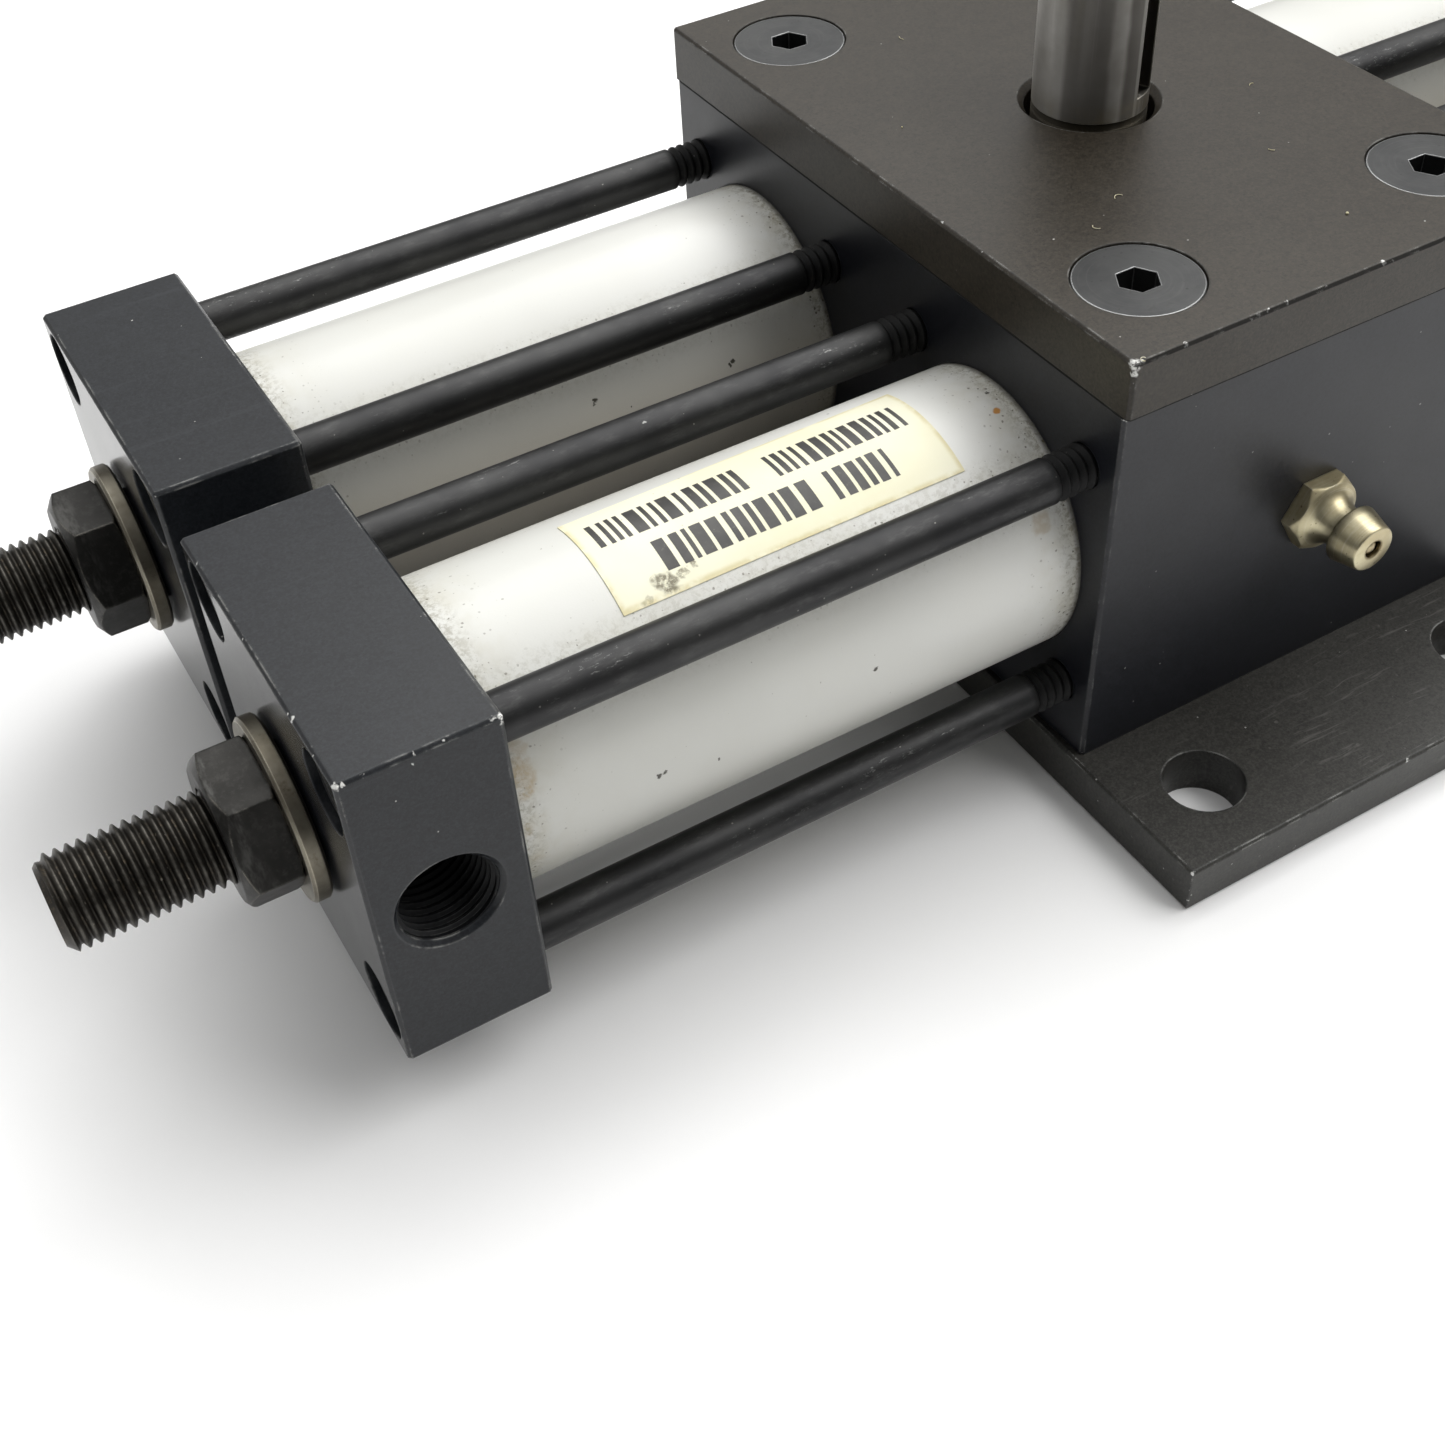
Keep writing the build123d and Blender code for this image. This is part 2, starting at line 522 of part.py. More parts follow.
def make_piston(name, row, side):
    with BuildPart() as piston:
        piston_plane = span_plane(row, side, PISTON_IN, PISTON_OUT)
        with BuildSketch(piston_plane):
            Circle(PISTON_R)
        extrude(amount=PISTON_OUT - PISTON_IN)
        chamfer(piston.edges().filter_by(GeomType.CIRCLE), 0.35)
        for start, end, floor_r in GROOVES.values():
            with BuildSketch(span_plane(row, side, PISTON_OUT - start, PISTON_OUT - end)):
                Circle(PISTON_R + 1)
                Circle(floor_r, mode=Mode.SUBTRACT)
            extrude(amount=end - start, mode=Mode.SUBTRACT)
        # screw hole and its counterbore, open at the outer face
        with BuildSketch(piston_plane.offset(-1)):
            Circle(PSCREW_R + 0.05)
        extrude(amount=20, mode=Mode.SUBTRACT)
        with BuildSketch(span_plane(row, side, PSCREW_SEAT, PISTON_OUT + 1)):
            Circle(PSCREW_HEAD_R + 0.12)
        extrude(amount=PSCREW_HEAD_H + 1, mode=Mode.SUBTRACT)
    save(piston, name)


def piston_rings(name, row, groove, outer_r):
    """One ring for the named groove in each of the two pistons of a row."""
    start, end, floor_r = GROOVES[groove]
    inner_x, outer_x = PISTON_OUT - end + RING_GAP, PISTON_OUT - start - RING_GAP
    with BuildPart() as rings:
        for side in (-1, 1):
            with BuildSketch(span_plane(row, side, inner_x, outer_x)):
                Circle(outer_r)
                Circle(floor_r + 0.01, mode=Mode.SUBTRACT)
            extrude(amount=outer_x - inner_x)
            if groove == "seal":
                # square groove in the outer face, which leaves two lips
                with BuildSketch(span_plane(row, side, outer_x - LIP_DEPTH, outer_x)):
                    Circle(LIP_OUT_R)
                    Circle(LIP_IN_R, mode=Mode.SUBTRACT)
                extrude(amount=LIP_DEPTH, mode=Mode.SUBTRACT)
    save(rings, name)


def make_piston_screws(name, row):
    with BuildPart() as piston_screws:
        for side in (-1, 1):
            with BuildSketch(span_plane(row, side, PSCREW_HEAD_IN, PISTON_OUT)):
                Circle(PSCREW_HEAD_R)
            extrude(amount=PISTON_OUT - PSCREW_HEAD_IN)
            with BuildSketch(span_plane(row, side, PSCREW_IN, PSCREW_HEAD_IN)):
                Circle(PSCREW_R)
            extrude(amount=PSCREW_HEAD_IN - PSCREW_IN)
            with BuildSketch(span_plane(row, side, PISTON_OUT - PSCREW_HEX_DEPTH, PISTON_OUT)):
                RegularPolygon(radius=LARGE_HEX_AF / 2, side_count=6, major_radius=False)
            extrude(amount=PSCREW_HEX_DEPTH, mode=Mode.SUBTRACT)
    save(piston_screws, name)


for row_name, row in ROWS:
    for side_name, side in SIDES:
        make_piston(f"{row_name}_{side_name}_piston", row, side)
    piston_rings(f"{row_name}_piston_seals", row, "seal", outer_r=14.25)
    piston_rings(f"{row_name}_wear_bands", row, "band", outer_r=14.24)
    piston_rings(f"{row_name}_piston_magnets", row, "magnet", outer_r=13.9)
    make_piston_screws(f"{row_name}_piston_screws", row)

# ================================================================ tubes, caps, tie bolts, gaskets
CAP_HALF = 19.0
CBORE_R = 4.05
PORT_X, PORT_R = 101.0, 5.0
PORT_END = 6.0                                  # inner end, from the cylinder axis
PORT_BEVEL = 0.5
PASSAGE_R, PASSAGE_END = 7.4, 101.5
BOLT_HEAD_R, BOLT_HEAD_H, BOLT_HEAD_BEVEL = 3.9, 4.8, 0.35
BOLT_HEX_DEPTH = 2.4
BOLT_PITCH, BOLT_ROOT_R = INCH / 24, BOLT_R - 0.42
BOLT_THREAD_END = 33.0


def make_tube(name, row, side):
    with BuildPart() as tube:
        with BuildSketch(span_plane(row, side, TUBE_IN, TUBE_OUT)):
            Circle(TUBE_R)
            Circle(BORE_R, mode=Mode.SUBTRACT)
        extrude(amount=TUBE_OUT - TUBE_IN)
    save(tube, name)


def end_cap(name, row, side):
    """Square cylinder cap; the left ones also carry a stroke adjuster."""
    cap_plane = span_plane(row, side, CAP_IN, CAP_OUT)
    with BuildPart() as cap:
        with BuildSketch(cap_plane):
            Rectangle(2 * CAP_HALF, 2 * CAP_HALF)
        extrude(amount=CAP_OUT - CAP_IN)
        chamfer(cap.edges(), EDGE)
        # socket for the tube end, then the air passage
        with BuildSketch(span_plane(row, side, CAP_IN, CAP_SOCKET)):
            Circle(SOCKET_R)
        extrude(amount=CAP_SOCKET - CAP_IN, mode=Mode.SUBTRACT)
        with BuildSketch(span_plane(row, side, CAP_IN, PASSAGE_END)):
            Circle(PASSAGE_R)
        extrude(amount=PASSAGE_END - CAP_IN, mode=Mode.SUBTRACT)
        # clearance holes and counterbores for the tie bolts
        with BuildSketch(cap_plane):
            with Locations(*BOLT_SPOTS):
                Circle(BOLT_R + 0.13)
        extrude(amount=CAP_OUT - CAP_IN, mode=Mode.SUBTRACT)
        with BuildSketch(span_plane(row, side, BOLT_SEAT, CAP_OUT)):
            with Locations(*BOLT_SPOTS):
                Circle(CBORE_R)
        extrude(amount=CBORE_DEPTH, mode=Mode.SUBTRACT)
        # air port from the outer side face, with a chamfered mouth
        port_plane = Plane(
            origin=(side * PORT_X, row * (CYL_Y + CAP_HALF), CYL_Z),
            x_dir=(1, 0, 0),
            z_dir=(0, -row, 0),
        )
        with BuildSketch(port_plane):
            Circle(PORT_R)
        extrude(amount=CAP_HALF - PORT_END, mode=Mode.SUBTRACT)
        with BuildSketch(port_plane):
            Circle(PORT_R + PORT_BEVEL)
        with BuildSketch(port_plane.offset(PORT_BEVEL)):
            Circle(PORT_R)
        loft(mode=Mode.SUBTRACT)
        if side < 0:
            with BuildSketch(cap_plane):
                Circle(STUD_HOLE_R)
            extrude(amount=CAP_OUT - CAP_IN, mode=Mode.SUBTRACT)
    save(cap, name)


def right_tie_bolt():
    """Socket-head bolt along +X on the x axis; ridges show the thread at its inner end."""
    head_face = BOLT_SEAT + BOLT_HEAD_H
    profile = [(BOLT_IN, 0), (BOLT_IN, BOLT_ROOT_R)]    # x, radius
    x = BOLT_IN + 0.3
    while x + BOLT_PITCH < BOLT_THREAD_END:
        profile += [
            (x, BOLT_ROOT_R), (x + 0.4 * BOLT_PITCH, BOLT_R),
            (x + 0.55 * BOLT_PITCH, BOLT_R), (x + 0.95 * BOLT_PITCH, BOLT_ROOT_R),
        ]
        x += BOLT_PITCH
    profile += [
        (x, BOLT_ROOT_R), (x + 0.45, BOLT_R), (BOLT_SEAT, BOLT_R), (BOLT_SEAT, BOLT_HEAD_R),
        (head_face - BOLT_HEAD_BEVEL, BOLT_HEAD_R), (head_face, BOLT_HEAD_R - BOLT_HEAD_BEVEL),
        (head_face, 0), (BOLT_IN, 0),
    ]
    with BuildPart(mode=Mode.PRIVATE) as bolt:
        with BuildSketch(Plane.XY):
            with BuildLine():
                Polyline(*profile)
            make_face()
        revolve(axis=Axis.X)
        with BuildSketch(Plane.YZ.offset(head_face - BOLT_HEX_DEPTH)):
            RegularPolygon(radius=SMALL_HEX_AF / 2, side_count=6, major_radius=False)
        extrude(amount=BOLT_HEX_DEPTH, mode=Mode.SUBTRACT)
    return bolt.part


def make_tie_bolts(name, row, side):
    bolt = right_tie_bolt()
    if side < 0:
        bolt = bolt.mirror(Plane.YZ)
    with BuildPart() as tie_bolts:
        for y, z in BOLT_SPOTS:
            add(bolt.moved(Location((0, row * CYL_Y + y, CYL_Z + z))))
    save(tie_bolts, name)


def tube_gaskets(name, side):
    """Gaskets at both ends of the two tubes on one side."""
    with BuildPart() as gaskets:
        for row in (-1, 1):
            for start, end in ((HOUSE_SOCKET, TUBE_IN), (TUBE_OUT, CAP_SOCKET)):
                with BuildSketch(span_plane(row, side, start + 0.01, end - 0.01)):
                    Circle(TUBE_R)
                    Circle(BORE_R, mode=Mode.SUBTRACT)
                extrude(amount=end - start - 0.02)
    save(gaskets, name)


for row_name, row in ROWS:
    for side_name, side in SIDES:
        make_tube(f"{row_name}_{side_name}_tube", row, side)
        end_cap(f"{row_name}_{side_name}_end_cap", row, side)
        make_tie_bolts(f"{row_name}_{side_name}_tie_bolts", row, side)
for side_name, side in SIDES:
    tube_gaskets(f"{side_name}_tube_gaskets", side)

# ================================================================ stroke adjusters, left caps
STUD_R, STUD_PITCH, STUD_THREAD_DEPTH = 4.7625, INCH / 24, 0.58
STUD_IN, STUD_OUT, STUD_BEVEL = 93.8, 131.9, 0.9
STUD_HEX_DEPTH = 5.0
WASHER_IN, WASHER_OUT = 108.72, 110.6
WASHER_R, WASHER_BORE_R = 9.45, 6.3
NUT_OUT, NUT_AF = 116.16, 14.29

with BuildPart() as adjuster_washers:
    for row in (-1, 1):
        with BuildSketch(row_plane(row, -WASHER_OUT)):
            Circle(WASHER_R)
            Circle(WASHER_BORE_R, mode=Mode.SUBTRACT)
        extrude(amount=WASHER_OUT - WASHER_IN)
    rims = adjuster_washers.edges().filter_by(
        lambda edge: edge.geom_type == GeomType.CIRCLE and edge.radius > 9)
    chamfer(rims, 0.3)
save(adjuster_washers, "adjuster_washers")

with BuildPart() as adjuster_seal_rings:
    for row in (-1, 1):
        with BuildSketch(row_plane(row, -WASHER_OUT + 0.02)):
            Circle(WASHER_BORE_R - 0.02)
            Circle(STUD_HOLE_R, mode=Mode.SUBTRACT)
        extrude(amount=WASHER_OUT - 0.03 - CAP_OUT)
save(adjuster_seal_rings, "adjuster_seal_rings")


def outward_frame(row):
    """Profile plane with local x along -X on a row's cylinder axis, and that axis."""
    origin = (0, row * CYL_Y, CYL_Z)
    return Plane(origin=origin, x_dir=(-1, 0, 0), z_dir=(0, 0, 1)), Axis(origin, (-1, 0, 0))


def adjuster_stud(name, row):
    root_r = STUD_R - STUD_THREAD_DEPTH
    x = STUD_IN + 1.0
    # distance along -X, radius
    profile = [(STUD_IN, 0), (STUD_IN, STUD_R - STUD_BEVEL), (x, STUD_R)]
    while x + STUD_PITCH < STUD_OUT - STUD_BEVEL:
        x += STUD_PITCH
        profile += [
            (x - 0.94 * STUD_PITCH, STUD_R), (x - 0.56 * STUD_PITCH, root_r),
            (x - 0.44 * STUD_PITCH, root_r), (x - 0.06 * STUD_PITCH, STUD_R),
        ]
    profile += [
        (STUD_OUT - STUD_BEVEL, STUD_R), (STUD_OUT, STUD_R - STUD_BEVEL),
        (STUD_OUT, 0), (STUD_IN, 0),
    ]
    plane, axis = outward_frame(row)
    with BuildPart() as stud:
        with BuildSketch(plane):
            with BuildLine():
                Polyline(*profile)
            make_face()
        revolve(axis=axis)
        with BuildSketch(row_plane(row, -STUD_OUT)):
            RegularPolygon(radius=LARGE_HEX_AF / 2, side_count=6, major_radius=False)
        extrude(amount=STUD_HEX_DEPTH, mode=Mode.SUBTRACT)
    save(stud, name)


def jam_nut(name, row, turn):
    """Hexagon nut turned by the given degrees about the cylinder axis."""
    plane, axis = outward_frame(row)
    with BuildPart() as nut:
        with BuildSketch(row_plane(row, -NUT_OUT)):
            RegularPolygon(radius=NUT_AF / 2, side_count=6, major_radius=False, rotation=turn)
        extrude(amount=NUT_OUT - WASHER_OUT - 0.01)
        # chamfers on the corners
        with BuildSketch(plane):
            with BuildLine():
                Polyline(
                    (WASHER_OUT, 0), (WASHER_OUT, 7.6), (WASHER_OUT + 0.6, 8.6),
                    (NUT_OUT - 1.25, 8.6), (NUT_OUT, 6.75), (NUT_OUT, 0), (WASHER_OUT, 0),
                )
            make_face()
        revolve(axis=axis, mode=Mode.INTERSECT)
        with BuildSketch(row_plane(row, -NUT_OUT)):
            Circle(STUD_HOLE_R)
        extrude(amount=NUT_OUT - WASHER_OUT, mode=Mode.SUBTRACT)
    save(nut, name)


for row_name, row in ROWS:
    adjuster_stud(f"{row_name}_adjuster_stud", row)
jam_nut("front_jam_nut", -1, turn=6.35)
jam_nut("rear_jam_nut", 1, turn=1.3)

# ================================================================ grease fitting, ball, spring
GREASE_HEX_AF, GREASE_HEX_L = 7.94, 3.25
SPRING_CHAMBER_R, SPRING_CHAMBER_END = 1.35, -50.1
ORIFICE_R, ORIFICE_START = 0.8, -50.0
CHECK_BALL_R = 1.19
CHECK_BALL_CENTRE = (0, -49.55, GREASE_Z)
GREASE_PROFILE = [                              # radius, y
    (0, GREASE_IN), (2.6, GREASE_IN), (GREASE_R, -37.9), (GREASE_R, -BODY_HALF_Y),
    (4.59, -BODY_HALF_Y), (4.59, -44.2), (3.95, -45.0), (3.3, -45.35), (2.45, -46.2),
    (2.2, -46.7), (2.25, -47.0), (3.05, -47.1), (3.27, -47.35), (3.2, -48.1), (2.95, -49.4),
    (2.75, -50.2), (2.35, -50.7), (1.95, GREASE_TIP), (0, GREASE_TIP), (0, GREASE_IN),
]

with BuildPart() as grease_fitting:
    with BuildSketch(Plane(origin=(0, 0, GREASE_Z), x_dir=(1, 0, 0), z_dir=(0, 0, 1))):
        with BuildLine():
            Polyline(*GREASE_PROFILE)
        make_face()
    revolve(axis=Axis((0, 0, GREASE_Z), (0, -1, 0)))
    # hexagon section near the housing face
    with BuildSketch(grease_plane(-BODY_HALF_Y)):
        Circle(6)
        RegularPolygon(radius=GREASE_HEX_AF / 2, side_count=6, major_radius=False,
                       rotation=0, mode=Mode.SUBTRACT)
    extrude(amount=GREASE_HEX_L, mode=Mode.SUBTRACT)
    # spring chamber from the inner end and the orifice at the tip
    with BuildSketch(grease_plane(GREASE_IN)):
        Circle(SPRING_CHAMBER_R)
    extrude(amount=GREASE_IN - SPRING_CHAMBER_END, mode=Mode.SUBTRACT)
    with BuildSketch(grease_plane(ORIFICE_START)):
        Circle(ORIFICE_R)
    extrude(amount=2, mode=Mode.SUBTRACT)
    # seat for the check ball
    with Locations(CHECK_BALL_CENTRE):
        Sphere(CHECK_BALL_R + 0.05, mode=Mode.SUBTRACT)
save(grease_fitting, "grease_fitting")

with BuildPart() as grease_check_ball:
    with Locations(CHECK_BALL_CENTRE):
        Sphere(CHECK_BALL_R)
save(grease_check_ball, "grease_check_ball")

with BuildPart() as grease_check_spring:
    with BuildLine() as coil:
        Helix(pitch=1.15, height=8.4, radius=1.02, center=(0, -47.55, GREASE_Z),
              direction=(0, 1, 0))
    with BuildSketch(Plane(origin=coil.line @ 0, z_dir=coil.line % 0)):
        Circle(0.2)
    sweep()
save(grease_check_spring, "grease_check_spring")

# ================================================================ sticker on the front left tube
LABEL_OUT, LABEL_L = 76.5, 38.4
LABEL_IN_R, LABEL_OUT_R = TUBE_R + 0.005, TUBE_R + 0.12
LABEL_ANGLES = (70.5, 95.5, 120.5)              # start, middle, end, from +Y towards +Z


def label_points(radius):
    angles = [math.radians(degrees) for degrees in LABEL_ANGLES]
    return [(radius * math.cos(angle), radius * math.sin(angle)) for angle in angles]


inner_arc = label_points(LABEL_IN_R)
outer_arc = label_points(LABEL_OUT_R)
with BuildPart() as tube_label:
    with BuildSketch(row_plane(-1, -LABEL_OUT)):
        with BuildLine():
            ThreePointArc(*inner_arc)
            Line(inner_arc[-1], outer_arc[-1])
            ThreePointArc(*outer_arc[::-1])
            Line(outer_arc[0], inner_arc[0])
        make_face()
    extrude(amount=LABEL_L)
save(tube_label, "tube_label")
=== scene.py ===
"""Twin-cylinder rotary actuator standing on a pale floor.

Both cylinders lie along X, one in the front (-Y) and one in the rear (+Y), and run through a
central housing whose pinion shaft rises along +Z. End caps close the cylinders at -X (left) and
+X (right). The floor is at z = 0. The CAD pieces keep their shape and take a finish here; the
studs, grease fitting and label are rebuilt, and port threads, label bars and lint are added.
Mesh sizes are in millimetres and are scaled to metres when placed; shader sizes are in metres
unless said otherwise.
"""
import math
import random

import bmesh
import bpy
from mathutils import Matrix, Vector


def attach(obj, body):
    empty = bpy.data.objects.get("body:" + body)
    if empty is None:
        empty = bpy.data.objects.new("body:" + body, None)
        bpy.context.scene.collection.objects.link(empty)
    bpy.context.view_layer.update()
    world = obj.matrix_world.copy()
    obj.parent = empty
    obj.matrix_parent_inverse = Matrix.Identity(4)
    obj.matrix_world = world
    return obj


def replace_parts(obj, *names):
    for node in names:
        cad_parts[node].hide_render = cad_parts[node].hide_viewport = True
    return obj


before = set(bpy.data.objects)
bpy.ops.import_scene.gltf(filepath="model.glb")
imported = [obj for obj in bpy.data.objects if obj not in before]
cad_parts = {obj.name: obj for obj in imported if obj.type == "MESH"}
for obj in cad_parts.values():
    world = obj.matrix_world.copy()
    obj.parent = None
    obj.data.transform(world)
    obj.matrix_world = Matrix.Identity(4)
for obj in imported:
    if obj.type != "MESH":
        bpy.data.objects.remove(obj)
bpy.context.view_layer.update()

MM = 0.001
CYL_Y, CYL_Z = 22.8, 28.1  # cylinder axes: distance from the middle plane, height
FRONT_Y, REAR_Y = -CYL_Y, CYL_Y
TUBE_RADIUS = 15.875
CAP_X, CAP_HALF_Y = 101.0, 41.8  # port centre along X, half the cap's depth
SEAM_Z = 50.8  # joint between housing and cover
COVER_TOP = 57.15


# ------------------------------------------------------------------ node helpers
class Graph:
    """Adds nodes to an emptied node tree."""

    def __init__(self, tree):
        self.tree = tree
        tree.nodes.clear()

    def put(self, socket, value):
        """Link or set one input; None leaves it alone, and RGB gains an alpha of 1."""
        if value is None:
            return
        if isinstance(value, bpy.types.NodeSocket):
            self.tree.links.new(value, socket)
        elif isinstance(value, tuple):
            if socket.type == "RGBA" and len(value) == 3:
                value = (*value, 1.0)
            socket.default_value = value
        else:
            socket.default_value = value

    def node(self, kind, inputs=None, out=0, **settings):
        """Add a node, fill its inputs and return the chosen output."""
        node = self.tree.nodes.new(kind)
        for key, value in settings.items():
            setattr(node, key, value)
        for key, value in (inputs or {}).items():
            self.put(node.inputs[key], value)
        return node.outputs[out]


class Shader(Graph):
    """A Principled material in object coordinates, whose colour and roughness build up in layers.

    Noise scales are per metre. A mask runs from 0 (off) to 1 (on). `warp` is (noise scale,
    shift in metres) and `stretch` is a scale for each axis; both act on the coordinates.
    """

    def __init__(self, name):
        self.material = bpy.data.materials.new(name)
        self.material.use_nodes = True
        super().__init__(self.material.node_tree)
        output = self.tree.nodes.new("ShaderNodeOutputMaterial")
        self.principled = self.tree.nodes.new("ShaderNodeBsdfPrincipled")
        self.tree.links.new(self.principled.outputs[0], output.inputs[0])
        self.coord = self.node("ShaderNodeTexCoord", out="Object")
        self.color = self.rough = None

    # arithmetic
    def math(self, op, a, b=None):
        return self.node("ShaderNodeMath", {0: a, 1: b}, operation=op)

    def add(self, a, b):
        return self.math("ADD", a, b)

    def minus(self, a, b):
        return self.math("SUBTRACT", a, b)

    def mul(self, a, b):
        return self.math("MULTIPLY", a, b)

    def abs(self, a):
        return self.math("ABSOLUTE", a)

    def hypot(self, a, b):
        return self.math("SQRT", self.add(self.mul(a, a), self.mul(b, b)))

    def top(self, *masks):
        result = masks[0]
        for mask in masks[1:]:
            result = self.math("MAXIMUM", result, mask)
        return result

    def vec(self, op, a, b, out=0):
        return self.node("ShaderNodeVectorMath", {0: a, 1: b}, out=out, operation=op)

    def xyz(self, vector):
        return self.node("ShaderNodeSeparateXYZ", {0: vector}).node.outputs

    def combine(self, *parts, scales):
        scaled = [self.mul(part, scale) for part, scale in zip(parts, scales)]
        return self.node("ShaderNodeCombineXYZ", dict(enumerate(scaled)))

    def from_axis(self):
        """Y and Z offsets from a cylinder axis, with both cylinders folded onto one."""
        _, y, z = self.xyz(self.coord)
        return self.minus(self.abs(y), CYL_Y * MM), self.minus(z, CYL_Z * MM)

    # patterns
    def point(self, warp=None, stretch=None):
        point = self.coord
        if warp:
            scale, amount = warp
            shift = self.noise(at=point, scale=scale, detail=2.0, rough=0.6, out=1)
            shift = self.vec("SUBTRACT", shift, (0.5, 0.5, 0.5))
            point = self.vec("ADD", point, self.vec("MULTIPLY", shift, (amount,) * 3))
        if stretch:
            point = self.vec("MULTIPLY", point, stretch)
        return point

    def noise(self, scale=1.0, detail=4.0, rough=0.7, distort=0.0, warp=None, stretch=None,
              at=None, out=0):
        if at is None:
            at = self.point(warp, stretch)
        return self.node("ShaderNodeTexNoise", {
            "Vector": at, "Scale": scale, "Detail": detail, "Roughness": rough,
            "Distortion": distort}, out=out)

    def step(self, value, off, on, strength=1.0):
        """Smooth mask: 0 where value is `off`, `strength` where it is `on`."""
        return self.node("ShaderNodeMapRange", {0: value, 1: off, 2: on, 3: 0.0, 4: strength},
                         interpolation_type="SMOOTHSTEP", clamp=True)

    def patches(self, off, on, **noise):
        return self.step(self.noise(**noise), off, on)

    def specks(self, per_m, radius, warp, spread=0.9, stretch=None):
        """Round specks of varied size (mm), about one per cell that the surface cuts."""
        at = self.point(warp, stretch)

        def cells(out):
            return self.node("ShaderNodeTexVoronoi", {"Vector": at, "Scale": per_m}, out=out)

        pick = self.xyz(cells("Color"))[0]
        size = self.node("ShaderNodeMapRange",
                         {0: pick, 1: 0.0, 2: 1.0, 3: 1.0 - spread, 4: 1.0 + spread})
        distance = self.math("DIVIDE", cells("Distance"), size)
        limit = radius * MM * per_m
        return self.step(distance, off=limit, on=limit * 0.6)

    def spots(self, points, warp):
        """Union of soft balls: points are (x, y, z, radius, strength) in millimetres."""
        at = self.point(warp)
        masks = []
        for x, y, z, radius, strength in points:
            distance = self.vec("DISTANCE", at, (x * MM, y * MM, z * MM), out="Value")
            masks.append(self.step(distance, radius * MM, radius * MM * 0.55, strength))
        return self.top(*masks)

    # mixing and layers
    def mix(self, mask, a, b):
        return self.node("ShaderNodeMix", {0: mask, 6: a, 7: b}, out=2, data_type="RGBA",
                         clamp_factor=True)

    def blend(self, mask, a, b):
        return self.node("ShaderNodeMix", {0: mask, 2: a, 3: b}, data_type="FLOAT",
                         clamp_factor=True)

    def two_tone(self, dark, light, off=0.35, on=0.65, **noise):
        """Base colour: a cloudy mix of two tones."""
        self.color = self.mix(self.patches(off, on, **noise), dark, light)

    def paint(self, mask, color, amount=None):
        """Lay a colour over what is there."""
        if amount is not None:
            mask = self.mul(mask, amount)
        self.color = self.mix(mask, self.color, color)

    def uneven_rough(self, base, swing, **noise):
        """Base roughness: noise of height `swing` above `base`."""
        self.rough = self.add(self.mul(self.noise(**noise), swing), base)

    def set_rough(self, mask, to, amount=None):
        if amount is not None:
            mask = self.mul(mask, amount)
        self.rough = self.blend(mask, self.rough, to)

    # surface
    def bevel(self, radius, samples):
        return self.node("ShaderNodeBevel", {"Radius": radius}, samples=samples)

    def normal(self):
        return self.node("ShaderNodeNewGeometry", out="Normal")

    def edge(self, bevel, off=0.004, on=0.09):
        """Mask of the edges, where the bevelled normal leaves the true one."""
        match = self.vec("DOT_PRODUCT", bevel, self.normal(), out="Value")
        return self.step(self.minus(1.0, match), off, on)

    def finish(self, height, distance, bevel=None, metallic=0.0, strength=1.0, more=None):
        """Bump the surface, fill the Principled node and return the material."""
        bump = self.node("ShaderNodeBump", {"Height": height, "Distance": distance,
                                            "Strength": strength, "Normal": bevel})
        inputs = {"Base Color": self.color, "Roughness": self.rough, "Normal": bump,
                  "Metallic": metallic, **(more or {})}
        for key, value in inputs.items():
            self.put(self.principled.inputs[key], value)
        return self.material


def brighter(color, gain, lift=0.0):
    return tuple(min(1.0, value * gain + lift) for value in color)


# ------------------------------------------------------------------ chips and marks
def tube_point(x, degrees, axis_y=FRONT_Y, radius=TUBE_RADIUS):
    """Point on a tube; the angle runs from +Y towards +Z."""
    angle = math.radians(degrees)
    return x, axis_y + radius * math.cos(angle), CYL_Z + radius * math.sin(angle)


# chips, mostly on edges and corners: x, y, z, radius (mm), strength
CAP_CHIPS = [
    (-93.15, -41.7, 47.0, 0.75, 1.0), (-93.3, -41.75, 46.2, 0.45, 0.9),
    (-93.9, -41.6, 47.05, 0.45, 0.8), (-108.3, -41.7, 47.0, 0.75, 1.0),
    (-107.5, -41.75, 46.95, 0.45, 0.9), (-98.7, -41.7, 47.0, 0.32, 0.9),
    (-101.3, -41.7, 47.0, 0.30, 0.9), (-101.5, -41.8, 45.9, 0.30, 0.8),
    (-105.8, -41.65, 47.0, 0.26, 0.8), (-108.3, -32.4, 47.0, 0.42, 0.9),
    (-108.35, -31.4, 46.9, 0.32, 0.8), (-108.3, -8.3, 47.0, 0.28, 0.7),
    (-108.3, -20.5, 47.0, 0.22, 0.7), (-108.2, -41.7, 9.25, 0.55, 1.0),
    (-107.2, -41.75, 9.2, 0.3, 0.8), (-93.2, -41.7, 9.2, 0.4, 0.8),
    (-108.3, 41.7, 47.0, 0.5, 0.9), (-93.2, 41.7, 47.0, 0.4, 0.8),
    (-108.3, 3.9, 47.0, 0.42, 0.9), (-93.2, 3.9, 47.0, 0.3, 0.7),
    (108.3, -41.7, 47.0, 0.5, 0.9), (93.2, 41.7, 47.0, 0.4, 0.8),
    (108.3, 3.9, 9.2, 0.4, 0.8), (108.3, 41.7, 47.0, 0.4, 0.8),
]
